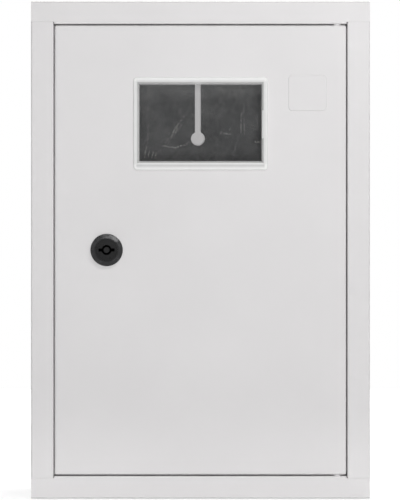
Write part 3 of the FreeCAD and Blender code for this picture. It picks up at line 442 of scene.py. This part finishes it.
def drawn_metal_group(name):
    """Streaks along one direction, and blooms of plating."""
    bloom_scale = 160.0
    streak_share = 0.55
    gloss_span = (0.25, 0.75)
    inputs = [("Vector", "Vector", None), ("Stretch", "Vector", (40.0, 1500.0, 1500.0))]
    tree, sheet, enter, leave = new_group(name, inputs, ["Tone", "Gloss", "Height"])
    stretched = sheet.stretch(enter["Vector"], enter["Stretch"])
    streak = sheet.noise(stretched, scale=1.0, detail=3.0, roughness=0.65)
    bloom = sheet.noise(enter["Vector"], bloom_scale, detail=4.0, roughness=0.6)
    sheet.fill(leave["Tone"], sheet.remap(sheet.weigh(streak_share, streak, bloom), *NOISE_SPAN))
    sheet.fill(leave["Gloss"], sheet.remap(streak, *gloss_span))
    sheet.fill(leave["Height"], streak)
    return tree


def rub_stroke_group(name):
    """One frayed rub mark in the XZ plane, from a start to an end."""
    warp_scale = 320.0
    warp_middle = (0.5, 0.5, 0.5)
    warp_reach = (0.0024, 0.0, 0.0024)
    hairs_across = 900.0
    hairs_along = 3.0
    patch_scale = 700.0
    inputs = [("Vector", "Vector", None), ("Start", "Vector", None), ("End", "Vector", None),
              ("Width", "Float", 0.002), ("Strength", "Float", 0.5)]
    tree, sheet, enter, leave = new_group(name, inputs, ["Mask"])
    flat = sheet.stretch(enter["Vector"], ONTO_FRONT)
    warp = sheet.add("ShaderNodeTexNoise", {"Vector": flat, "Scale": warp_scale, "Detail": 2.0})
    drift = sheet.stretch(sheet.difference(warp.outputs["Color"], warp_middle), warp_reach)
    place = sheet.vector_maths("ADD", flat, drift).outputs["Vector"]
    run = sheet.difference(enter["End"], enter["Start"])
    offset = sheet.difference(place, enter["Start"])
    length = sheet.length(run)
    along = sheet.maths("DIVIDE", sheet.dot(offset, run), sheet.product(length, length))
    held = sheet.add("ShaderNodeClamp", {"Value": along}).outputs["Result"]
    nearest = sheet.add("ShaderNodeVectorMath", {0: run, "Scale": held}, operation="SCALE").outputs["Vector"]
    away = sheet.vector_maths("DISTANCE", offset, nearest).outputs["Value"]
    body = sheet.remap(away, 0.0, enter["Width"], 1.0, 0.0)
    side = sheet.vector_maths("CROSS_PRODUCT", run, (0.0, 1.0, 0.0)).outputs["Vector"]
    across = sheet.maths("DIVIDE", sheet.dot(offset, side), length)
    hairs = {"X": sheet.product(across, hairs_across), "Y": sheet.product(along, hairs_along)}
    hair_place = sheet.add("ShaderNodeCombineXYZ", hairs).outputs["Vector"]
    hair = sheet.noise(hair_place, scale=1.0, detail=3.0, roughness=0.6)
    fray = sheet.remap(hair, low=0.34, high=0.62, new_low=0.1)
    patch = sheet.remap(sheet.noise(flat, patch_scale, detail=3.0, roughness=0.7), low=0.40, high=0.60)
    mask = sheet.product(sheet.product(body, fray), sheet.product(patch, enter["Strength"]))
    sheet.fill(leave["Mask"], mask)
    return tree


def box_mask_group(name):
    """One inside a box with soft sides, and nought outside it."""
    inputs = [("Vector", "Vector", None), ("Middle", "Vector", None), ("Half", "Vector", None),
              ("Softness", "Float", 0.0005)]
    tree, sheet, enter, leave = new_group(name, inputs, ["Mask"])
    offset = sheet.difference(enter["Vector"], enter["Middle"])
    size = sheet.vector_maths("ABSOLUTE", offset).outputs["Vector"]
    beyond = sheet.parts(sheet.difference(size, enter["Half"]))
    worst = sheet.larger(sheet.larger(beyond["X"], beyond["Y"]), beyond["Z"])
    sheet.fill(leave["Mask"], sheet.remap(worst, 0.0, enter["Softness"], 1.0, 0.0))
    return tree


def rim_painted_shade_group(name):
    """How much painted shade a rim shows, from its inner edge out to its outer one: most along its foot, less
    along its top and sides.
    """
    inner_edge = (-0.0004, 0.0)
    round_corner = (0.0002, 0.0018)
    inputs = [("Vector", "Vector", None), ("Middle", "Vector", None), ("Inner Half", "Vector", None)]
    tree, sheet, enter, leave = new_group(name, inputs, ["Grey"])
    place = sheet.parts(sheet.difference(enter["Vector"], enter["Middle"]))
    half = sheet.parts(enter["Inner Half"])

    def band(beyond, comes_in, goes_out, most, least):
        """Painted shade that comes in over one stretch beyond the inner edge, and goes out over another."""
        return sheet.product(sheet.remap(beyond, *comes_in), sheet.remap(beyond, *goes_out, most, least))

    above = sheet.maths("SUBTRACT", place["Z"], half["Z"])
    below = sheet.maths("SUBTRACT", sheet.product(place["Z"], -1.0), half["Z"])
    beside = sheet.maths("SUBTRACT", sheet.maths("ABSOLUTE", place["X"]), half["X"])
    top = band(above, inner_edge, (0.0002, 0.0030), most=0.75, least=0.0)
    foot = band(below, (0.0006, 0.0016), (0.0020, 0.0052), most=1.0, least=0.0)
    sides = band(beside, inner_edge, (0.0, 0.0030), most=0.7, least=0.25)
    between_sides = sheet.remap(beside, *round_corner, 1.0, 0.0)
    between_ends = sheet.remap(sheet.larger(above, below), *round_corner, 1.0, 0.0)
    ends = sheet.product(sheet.larger(top, foot), between_sides)
    sheet.fill(leave["Grey"], sheet.larger(ends, sheet.product(sides, between_ends)))
    return tree


def scratch_group(name):
    """Fine crossing scratches, as on wiped plastic."""
    angles_and_spacings = [(0.35, 900.0), (-0.6, 1100.0), (1.35, 1000.0)]
    scratch_length = 22.0
    gathering_scale = 70.0
    inputs = [("Vector", "Vector", None), ("Spread", "Float", 1.0)]
    tree, sheet, enter, leave = new_group(name, inputs, ["Mask"])
    found = None
    for angle, spacing in angles_and_spacings:
        turn = {"Vector": enter["Vector"], "Angle": angle}
        turned = sheet.add("ShaderNodeVectorRotate", turn, rotation_type="Y_AXIS").outputs["Vector"]
        thin = sheet.stretch(turned, (spacing, 1.0, scratch_length))
        line = sheet.remap(sheet.noise(thin, scale=1.0, detail=1.0, roughness=0.4), low=0.68, high=0.80)
        found = line if found is None else sheet.larger(found, line)
    gathered = sheet.remap(sheet.noise(enter["Vector"], gathering_scale, detail=3.0), low=0.42, high=0.68)
    sheet.fill(leave["Mask"], sheet.product(sheet.product(found, gathered), enter["Spread"]))
    return tree


def thread_group(name):
    """The ridges of a screw thread round a fore-and-aft axis."""
    half_turn = 0.5
    inputs = [("Vector", "Vector", None), ("Turns", "Float", 1100.0)]
    tree, sheet, enter, leave = new_group(name, inputs, ["Height"])
    depth = sheet.parts(enter["Vector"])["Y"]
    ridge = sheet.maths("PINGPONG", sheet.product(depth, enter["Turns"]), half_turn)
    sheet.fill(leave["Height"], sheet.product(ridge, 1.0 / half_turn))
    return tree


GROUP_MAKERS = {
    "powder_coat_skin": powder_coat_group,
    "moulded_plastic_skin": moulded_plastic_group,
    "drawn_metal_skin": drawn_metal_group,
    "rub_stroke": rub_stroke_group,
    "box_mask": box_mask_group,
    "rim_painted_shade": rim_painted_shade_group,
    "wiped_scratches": scratch_group,
    "thread_ridges": thread_group,
}


# Finishes

def new_finish(name, **plain):
    """A material with one Principled shader; plain values go straight onto its sockets."""
    material = bpy.data.materials.new(name)
    material.use_nodes = True
    tree = material.node_tree
    tree.nodes.clear()
    sheet = NodeSheet(tree)
    place = sheet.add("ShaderNodeTexCoord").outputs["Object"]
    shader = sheet.add("ShaderNodeBsdfPrincipled")
    for socket, value in plain.items():
        shader.inputs[socket.replace("_", " ")].default_value = value
    output = sheet.add("ShaderNodeOutputMaterial")
    tree.links.new(shader.outputs["BSDF"], output.inputs["Surface"])
    return material, sheet, place, shader.inputs


def shaded(colour, share):
    """A colour made darker or lighter, as a socket takes it."""
    return (*(min(1.0, part * share) for part in colour), 1.0)


def mottled(sheet, share, colour, darkest, lightest):
    """A colour that goes from a darker shade of itself to a lighter one."""
    return sheet.blend(share, shaded(colour, darkest), shaded(colour, lightest))


def uneven(sheet, gloss, roughness, smoother, rougher, span=WHOLE):
    """A roughness that goes from a little below its mean to a little above it."""
    return sheet.remap(gloss, *span, roughness - smoother, roughness + rougher)


def raise_surface(sheet, shader, height, distance):
    bump = sheet.add("ShaderNodeBump", {"Height": height, "Distance": distance, "Strength": 1.0})
    sheet.fill(shader["Normal"], bump.outputs["Normal"])


def powder_coat_finish(settings):
    """Light grey powder coat, with painted light on the inner face of the back wall, which is made lighter
    there as if lit more.
    """
    towards_front = (-0.9, -0.5)
    material, sheet, place, shader = new_finish("light_grey_powder_coat", Specular_IOR_Level=0.35)
    skin = sheet.group("powder_coat_skin", {"Vector": place, "Peel Scale": 1.0 / settings.peel_size})
    tone = mottled(sheet, skin["Tone"], settings.colour, darkest=0.985, lightest=1.012)
    depth = sheet.parts(place)["Y"]
    facing = sheet.parts(sheet.add("ShaderNodeTexCoord").outputs["Normal"])["Y"]
    # Painted light: the inner face of the back wall, where it faces the front, is made lighter than the coat
    # elsewhere
    at_back = sheet.remap(depth, BACK_WALL - BACK_WALL_LIGHT_BEGINS, BACK_WALL - BACK_WALL_LIGHT_WHOLE)
    back_wall_light_mask = sheet.product(at_back, sheet.remap(facing, *towards_front, 1.0, 0.0))
    back_wall_lit_colour = shaded(settings.colour, settings.back_wall_painted_light)
    sheet.fill(shader["Base Color"], sheet.blend(back_wall_light_mask, tone, back_wall_lit_colour))
    rough = uneven(sheet, skin["Gloss"], settings.roughness, smoother=0.06, rougher=0.06, span=NOISE_SPAN)
    sheet.fill(shader["Roughness"], rough)
    raise_surface(sheet, shader, skin["Height"], settings.peel_depth)
    return material


def plastic_finish(name, colour, roughness, specular=0.35, thread_pitch=0.0, thread_from=0.0, painted_shade_from=None,
                   bevel_sheen=None):
    """Moulded plastic; a thread pitch adds a thread, and a depth adds painted shade with a dull finish, each
    behind a level.

    A painted sheen on a round head's bevel is given as the head's axis, the radius where the sheen begins and
    its lightness.
    """
    deep_shade_share = 0.12
    deep_roughness = 0.95
    least_sheen = 0.5
    material, sheet, place, shader = new_finish(name, Specular_IOR_Level=specular)
    skin = sheet.group("moulded_plastic_skin", {"Vector": place})
    depth = sheet.parts(place)["Y"]
    tone = mottled(sheet, skin["Tone"], colour, darkest=0.78, lightest=1.28)
    rough = uneven(sheet, skin["Gloss"], roughness, smoother=0.07, rougher=0.09)
    height = skin["Height"]
    # Painted shade: darker behind a depth, as inside the key hole; the finish there is also duller
    if painted_shade_from is not None:
        deep_shade = sheet.remap(depth, painted_shade_from, painted_shade_from + DEEP_SHADE_FADE)
        tone = sheet.blend(deep_shade, tone, shaded(colour, deep_shade_share))
        rough = sheet.larger(rough, sheet.product(deep_shade, deep_roughness))
    # Painted sheen: a paler ring beyond a radius round the head's axis, standing in for light on the bevel
    if bevel_sheen is not None:
        axis, begins, lightness = bevel_sheen
        radius = sheet.length(sheet.stretch(sheet.difference(place, axis), ONTO_FRONT))
        patches = sheet.remap(skin["Gloss"], *WHOLE, least_sheen, 1.0)
        sheen_ring = sheet.product(sheet.remap(radius, begins, begins + SHEEN_RING_FADE), patches)
        tone = sheet.blend(sheen_ring, tone, shaded(colour, lightness))
    if thread_pitch:
        ridges = sheet.group("thread_ridges", {"Vector": place, "Turns": 1.0 / thread_pitch})["Height"]
        behind = sheet.remap(depth, thread_from, thread_from + THREAD_FADE)
        height = sheet.maths("MULTIPLY_ADD", ridges, sheet.product(behind, PLASTIC_THREAD_GRAINS), height)
    sheet.fill(shader["Base Color"], tone)
    sheet.fill(shader["Roughness"], rough)
    raise_surface(sheet, shader, height, GRAIN_DEPTH)
    return material


def metal_finish(name, colour, streaks, thread_pitch=0.0):
    """Plated or drawn metal with streaks; a thread pitch adds a thread."""
    material, sheet, place, shader = new_finish(name, Metallic=1.0)
    skin = sheet.group("drawn_metal_skin", {"Vector": place, "Stretch": streaks})
    tone = mottled(sheet, skin["Tone"], colour, darkest=0.8, lightest=1.15)
    sheet.fill(shader["Base Color"], tone)
    rough = uneven(sheet, skin["Gloss"], ROUGHNESS[name], smoother=0.08, rougher=0.1)
    sheet.fill(shader["Roughness"], rough)
    height = skin["Height"]
    if thread_pitch:
        ridges = sheet.group("thread_ridges", {"Vector": place, "Turns": 1.0 / thread_pitch})["Height"]
        height = sheet.maths("MULTIPLY_ADD", ridges, METAL_THREAD_GRAINS, height)
    raise_surface(sheet, shader, height, GRAIN_DEPTH)
    return material


def board_finish(settings):
    """Dark insulating board with a mottled skin and chalky rub marks."""
    smudge_scale = 38.0
    mottle_scale = 240.0
    material, sheet, place, shader = new_finish("dark_meter_board", Specular_IOR_Level=0.2)
    skin = sheet.group("moulded_plastic_skin", {"Vector": place, "Grain Scale": 1400.0})
    base = mottled(sheet, skin["Tone"], settings.colour, darkest=0.8, lightest=1.2)
    marks = None
    for start, end, width, strength in BOARD_RUBS:
        stroke = {"Vector": place, "Start": (start[0], 0.0, start[1]), "End": (end[0], 0.0, end[1]),
                  "Width": width, "Strength": strength}
        mask = sheet.group("rub_stroke", stroke)["Mask"]
        marks = mask if marks is None else sheet.larger(marks, mask)
    wiped = sheet.group("wiped_scratches", {"Vector": place, "Spread": 0.28})["Mask"]
    smudges = sheet.noise(place, smudge_scale, detail=8.0, roughness=0.72)
    smudge = sheet.remap(smudges, low=0.42, high=0.74, new_high=0.09)
    mottles = sheet.noise(place, mottle_scale, detail=5.0, roughness=0.7)
    mottle = sheet.remap(mottles, low=0.36, high=0.72, new_high=0.05)
    marks = sheet.larger(marks, sheet.total(wiped, sheet.total(smudge, mottle)))
    sheet.fill(shader["Base Color"], sheet.blend(marks, base, (*settings.rub_colour, 1.0)))
    rough = uneven(sheet, skin["Gloss"], settings.roughness, smoother=0.08, rougher=0.1)
    sheet.fill(shader["Roughness"], rough)
    raise_surface(sheet, shader, skin["Height"], GRAIN_DEPTH)
    return material


def window_finish(settings):
    """Clear plastic: a faintly veiled pane in a tray, with a painted reflection towards its top, and a rim
    and snap tabs that show more body, with painted shade on the rim's bands.
    """
    cloud_scale = 55.0
    grain_scale = 260.0
    grain_body = 0.06
    tint_scale = 90.0
    rim_shade_share = 0.72
    low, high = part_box("window_pane")
    material, sheet, place, shader = new_finish("clear_window_plastic", Roughness=0.16, IOR=1.49)
    middle = Vector((0.0, high.y, (low.z + high.z) / 2 + WINDOW_RISE))

    def box_mask(box_middle, half, softness):
        values = {"Vector": place, "Middle": box_middle, "Half": (half[0], ANY_DEPTH, half[1]),
                  "Softness": softness}
        return sheet.group("box_mask", values)["Mask"]

    pane = box_mask(middle, PANE_HALF, PANE_SOFTNESS)
    tray = box_mask(middle, TRAY_HALF, TRAY_SOFTNESS)
    scratches = sheet.group("wiped_scratches", {"Vector": place, "Spread": 0.05})["Mask"]
    height = sheet.parts(place)["Z"]
    # Painted reflection: the pane is made paler towards its top, as a reflection of light from above would
    # show on it
    top_painted_reflection = sheet.remap(height, high.z - REFLECTION_BEGINS, high.z - REFLECTION_WHOLE, 0.0, REFLECTION_STRENGTH)
    cloud = sheet.remap(sheet.noise(place, cloud_scale, detail=3.0), low=0.35, high=0.7, new_high=0.010)
    haze_and_painted_reflection = sheet.total(sheet.total(scratches, top_painted_reflection), sheet.total(cloud, settings.haze))
    grain = sheet.product(sheet.noise(place, grain_scale, detail=2.0), grain_body)
    wall = sheet.product(sheet.total(grain, settings.wall_body), sheet.maths("SUBTRACT", tray, pane))
    rim = sheet.product(sheet.total(grain, settings.rim_body), sheet.maths("SUBTRACT", 1.0, tray))
    body = sheet.maths("MULTIPLY_ADD", haze_and_painted_reflection, pane, sheet.total(wall, rim))
    for side, share in TAB_SHARES.items():
        tab = box_mask((side * TAB_PLACE[0], high.y, TAB_PLACE[1]), TAB_HALF, TAB_SOFTNESS)
        body = sheet.larger(body, sheet.product(tab, settings.tab_body * share))
    sheet.fill(shader["Alpha"], body)
    tint = sheet.noise(place, tint_scale, detail=2.0)
    clear_colour = mottled(sheet, tint, settings.colour, darkest=0.97, lightest=1.02)
    # Painted shade: the rim's bands are greyed, most along the foot and least at the sides, as light from
    # above would shade them
    rim_inside = (TRAY_HALF[0], ANY_DEPTH, TRAY_HALF[1])
    values = {"Vector": place, "Middle": middle, "Inner Half": rim_inside}
    grey = sheet.group("rim_painted_shade", values)["Grey"]
    rim_shaded_colour = shaded(settings.colour, rim_shade_share)
    sheet.fill(shader["Base Color"], sheet.blend(grey, clear_colour, rim_shaded_colour))
    material.surface_render_method = "BLENDED"
    return material


def dress(names, material):
    """Give CAD nodes a finish."""
    for name in names:
        piece = NODES[name]
        piece.data.materials.clear()
        piece.data.materials.append(material)


# The studio

def add_object(name, data):
    thing = bpy.data.objects.new(name, data)
    bpy.context.scene.collection.objects.link(thing)
    return thing


def seen_directly(sheet):
    """One for camera, mirror and glass rays, and nought for the rays that light the object."""
    path = sheet.add("ShaderNodeLightPath").outputs
    mirrored = sheet.larger(path["Is Glossy Ray"], path["Is Transmission Ray"])
    return sheet.larger(path["Is Camera Ray"], mirrored)


def make_floor(settings):
    """A wide pale sheet that the box stands on."""
    grain_scale = 400.0
    mesh = bpy.data.meshes.new("floor")
    level = CAD_BOX[0][2] - FLOOR_GAP
    corners = [(-FLOOR_REACH, -FLOOR_REACH, level), (FLOOR_REACH, -FLOOR_REACH, level),
               (FLOOR_REACH, FLOOR_REACH, level), (-FLOOR_REACH, FLOOR_REACH, level)]
    mesh.from_pydata(corners, [], [(0, 1, 2, 3)])
    floor = add_object("floor", mesh)
    material, sheet, place, shader = new_finish("pale_floor", Roughness=0.7)
    grain = sheet.noise(place, grain_scale, detail=2.0)
    tone = mottled(sheet, grain, (settings.floor_shade,) * 3, darkest=0.99, lightest=1.01)
    sheet.fill(shader["Base Color"], tone)
    shader["Emission Color"].default_value = (1.0, 1.0, 1.0, 1.0)
    glow = sheet.remap(sheet.length(place), GLOW_BEGINS, GLOW_WHOLE, settings.floor_glow, 1.0)
    sheet.fill(shader["Emission Strength"], sheet.product(seen_directly(sheet), glow))
    mesh.materials.append(material)


def make_surround(scene, settings):
    """White to the eye, and a dimmer even light for the object."""
    world = bpy.data.worlds.new("white_surround")
    world.use_nodes = True
    world.node_tree.nodes.clear()
    sheet = NodeSheet(world.node_tree)
    lift = sheet.maths("MULTIPLY_ADD", seen_directly(sheet), 1.0 - settings.surround, settings.surround)
    background = sheet.add("ShaderNodeBackground", {"Color": (1.0, 1.0, 1.0, 1.0), "Strength": lift})
    output = sheet.add("ShaderNodeOutputWorld")
    world.node_tree.links.new(background.outputs["Background"], output.inputs["Surface"])
    scene.world = world


def moved(point, step):
    """A point moved by a step."""
    return Vector([start + length for start, length in zip(point, step)])


def make_lamp(name, place, target, power, mirrored=False):
    """A soft rectangular lamp aimed at the target, and whether glossy surfaces show it."""
    lamp = bpy.data.lights.new(name, "AREA")
    lamp.shape = "RECTANGLE"
    lamp.size, lamp.size_y = LAMP_SIZES[name]
    lamp.energy = power
    holder = add_object(name, lamp)
    holder.location = place
    holder.rotation_euler = (Vector(target) - Vector(place)).to_track_quat("-Z", "Y").to_euler()
    holder.visible_glossy = mirrored
    holder.visible_camera = False
    return holder


def light_only(lamp, names):
    """Let a lamp light some pieces and nothing else."""
    lit = bpy.data.collections.new(lamp.name + "_receivers")
    for name in names:
        lit.objects.link(NODES[name])
    lamp.light_linking.receiver_collection = lit


def make_lamps(settings):
    """Soft lamps in front, above on the right, over the lid, at the foot and behind on both sides."""
    front = Vector((0.0, CAD_BOX[0][1], 0.0))
    lid = Vector((0.0, (CAD_BOX[0][1] + CAD_BOX[1][1]) / 2, CAD_BOX[1][2]))
    foot = Vector((0.0, front.y, CAD_BOX[0][2]))
    make_lamp("front_softbox", moved(front, FRONT_LAMP), front, settings.front_light)
    make_lamp("key_softbox", moved(front, KEY_LAMP), front, settings.key_light)
    make_lamp("upper_softbox", moved(front, UPPER_LAMP), front, settings.upper_light)
    sheen_place = Vector((0.0, front.y - SHEEN_STANDOFF, CAD_BOX[1][2]))
    straight_down = sheen_place - Vector((0.0, 0.0, 1.0))
    sheen = make_lamp("sheen_panel", sheen_place, straight_down, settings.sheen_light, mirrored=True)
    sheen.visible_diffuse = False
    light_only(sheen, ["lock_housing", "lock_rotor"])
    make_lamp("top_softbox", TOP_LAMP, lid, settings.top_light, mirrored=True)
    strip = make_lamp("low_strip_light", moved(foot, STRIP_LAMP), foot, settings.low_light)
    strip.data.spread = STRIP_SPREAD
    for name, place in BACK_LAMPS.items():
        make_lamp(name, place, BACK_LAMP_TARGET, settings.back_light)


def make_camera(scene, settings):
    """Square on to the door, at the middle of its height."""
    camera = bpy.data.cameras.new("front_camera")
    camera.sensor_fit = "VERTICAL"
    camera.sensor_height = 36.0
    seen_height = IMAGE_HEIGHT * MILLIMETRES_PER_PIXEL / 1000
    camera.lens = camera.sensor_height * settings.distance / seen_height
    camera.clip_end = 50.0
    holder = add_object("front_camera", camera)
    holder.location = (settings.camera_side, BOX_FRONT - settings.distance, 0.0)
    holder.rotation_euler = (math.pi / 2, 0.0, 0.0)
    scene.camera = holder


# Operators

class METERBOX_OT_cabinet_and_door(bpy.types.Operator):
    """Powder coat on the folded sheets and on the hinge hardware"""

    bl_idname = "meterbox.cabinet_and_door"
    bl_label = "Cabinet and door"

    def execute(self, context):
        coat = powder_coat_finish(context.scene.meter_box.powder_coat)
        dress(["back_wrap", "left_side_panel", "right_side_panel", "door_panel"], coat)
        dress(["hinge_washers", "upper_hinge_pin", "lower_hinge_pin"], coat)
        return {"FINISHED"}


class METERBOX_OT_window(bpy.types.Operator):
    """Clear plastic on the reading window"""

    bl_idname = "meterbox.window"
    bl_label = "Window"

    def execute(self, context):
        dress(["window_pane"], window_finish(context.scene.meter_box.window))
        return {"FINISHED"}


class METERBOX_OT_lock(bpy.types.Operator):
    """Black plastic on the lock, with its thread, painted sheen on its bevel and painted shade in its key
    hole, and zinc on the nut and the cam
    """

    bl_idname = "meterbox.lock"
    bl_label = "Lock"

    def execute(self, context):
        settings = context.scene.meter_box.lock
        door_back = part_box("lock_nut")[0].y
        low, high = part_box("lock_housing")
        # Painted sheen: the ring on the head's bevel where the lock is painted paler
        bevel = ((low + high) / 2, (high.x - low.x) / 2 - settings.bevel_width, settings.bevel_sheen_share)
        housing = plastic_finish("lock_black_plastic", settings.colour, settings.roughness, settings.specular,
                                 settings.thread_pitch, door_back, bevel_sheen=bevel)
        dress(["lock_housing"], housing)
        rotor_colour = shaded(settings.colour, ROTOR_SHADE)[:3]
        # Painted shade: the rotor is painted near black inside its key hole, behind this lip
        key_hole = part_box("lock_rotor")[0].y + KEY_HOLE_LIP
        rotor = plastic_finish("lock_core_plastic", rotor_colour, settings.roughness + ROTOR_ROUGHER,
                               settings.specular, painted_shade_from=key_hole)
        dress(["lock_rotor"], rotor)
        zinc = metal_finish("lock_zinc_plate", context.scene.meter_box.fittings.zinc, STREAKS_UPRIGHT)
        dress(["lock_nut", "lock_cam", "cam_washer", "cam_screw"], zinc)
        return {"FINISHED"}


class METERBOX_OT_meter_board(bpy.types.Operator):
    """Dark board with rub marks, and what holds it"""

    bl_idname = "meterbox.meter_board"
    bl_label = "Meter board"

    def execute(self, context):
        fittings = context.scene.meter_box.fittings
        dress(["meter_board"], board_finish(context.scene.meter_box.board))
        spacer = plastic_finish("spacer_plastic", fittings.spacer, ROUGHNESS["spacer_plastic"])
        dress(["board_spacers"], spacer)
        zinc = metal_finish("board_zinc_plate", fittings.zinc, STREAKS_ON_NUTS)
        dress(["board_washers", "board_nuts"], zinc)
        thread = metal_finish("board_stud_thread", fittings.zinc, STREAKS_ON_NUTS, fittings.thread_pitch)
        dress(["board_studs"], thread)
        return {"FINISHED"}


class METERBOX_OT_rail_and_terminals(bpy.types.Operator):
    """Zinc rail, brass terminal bars, their insulating feet and the earth studs"""

    bl_idname = "meterbox.rail_and_terminals"
    bl_label = "Rail and terminals"

    def execute(self, context):
        fittings = context.scene.meter_box.fittings
        rail = metal_finish("rail_zinc_plate", fittings.zinc, STREAKS_ALONG_RAIL)
        dress(["din_rail", "rail_brackets"], rail)
        zinc = metal_finish("screw_zinc_plate", fittings.zinc, STREAKS_ON_SCREWS)
        dress(["rail_screws", "neutral_screws", "earth_screws"], zinc)
        dress(["earth_washer", "earth_nut", "door_earth_washer", "door_earth_nut"], zinc)
        thread = metal_finish("earth_stud_thread", fittings.zinc, STREAKS_ON_SCREWS, fittings.thread_pitch)
        dress(["earth_stud", "door_earth_stud"], thread)
        brass = metal_finish("terminal_brass", fittings.brass, STREAKS_ALONG_BAR)
        dress(["neutral_bar", "earth_bar"], brass)
        blue = plastic_finish("neutral_blue_plastic", fittings.neutral, ROUGHNESS["neutral_blue_plastic"])
        dress(["neutral_feet"], blue)
        green = plastic_finish("earth_green_plastic", fittings.earth, ROUGHNESS["earth_green_plastic"])
        dress(["earth_feet"], green)
        return {"FINISHED"}


class METERBOX_OT_studio(bpy.types.Operator):
    """Pale floor, white surround, soft lamps and the camera"""

    bl_idname = "meterbox.studio"
    bl_label = "Studio"

    def execute(self, context):
        settings = context.scene.meter_box.studio
        make_floor(settings)
        make_surround(context.scene, settings)
        make_lamps(settings)
        make_camera(context.scene, settings)
        context.scene.view_settings.view_transform = "Standard"
        return {"FINISHED"}


class METERBOX_PT_panel(bpy.types.Panel):
    """The meter box's pieces and their settings"""

    bl_idname = "METERBOX_PT_panel"
    bl_label = "Meter Box"
    bl_space_type = "VIEW_3D"
    bl_region_type = "UI"
    bl_category = "Meter Box"

    def draw(self, context):
        settings = context.scene.meter_box
        for operator, group in PANEL_ROWS:
            box = self.layout.box()
            box.operator(operator.bl_idname)
            for name in group.__annotations__:
                box.prop(getattr(settings, SETTING_NAMES[group]), name)


SETTING_NAMES = {
    PowderCoatSettings: "powder_coat",
    WindowSettings: "window",
    LockSettings: "lock",
    BoardSettings: "board",
    FittingSettings: "fittings",
    StudioSettings: "studio",
}

PANEL_ROWS = [
    (METERBOX_OT_cabinet_and_door, PowderCoatSettings),
    (METERBOX_OT_window, WindowSettings),
    (METERBOX_OT_lock, LockSettings),
    (METERBOX_OT_meter_board, BoardSettings),
    (METERBOX_OT_rail_and_terminals, FittingSettings),
    (METERBOX_OT_studio, StudioSettings),
]

CLASSES = [*SETTING_NAMES, MeterBoxSettings, *(row[0] for row in PANEL_ROWS), METERBOX_PT_panel]


def register():
    for part in CLASSES:
        bpy.utils.register_class(part)
    bpy.types.Scene.meter_box = PointerProperty(type=MeterBoxSettings)


def unregister():
    del bpy.types.Scene.meter_box
    for part in reversed(CLASSES):
        bpy.utils.unregister_class(part)


def main():
    register()
    bpy.ops.meterbox.cabinet_and_door()
    bpy.ops.meterbox.window()
    bpy.ops.meterbox.lock()
    bpy.ops.meterbox.meter_board()
    bpy.ops.meterbox.rail_and_terminals()
    bpy.ops.meterbox.studio()


if __name__ == "__main__":
    main()
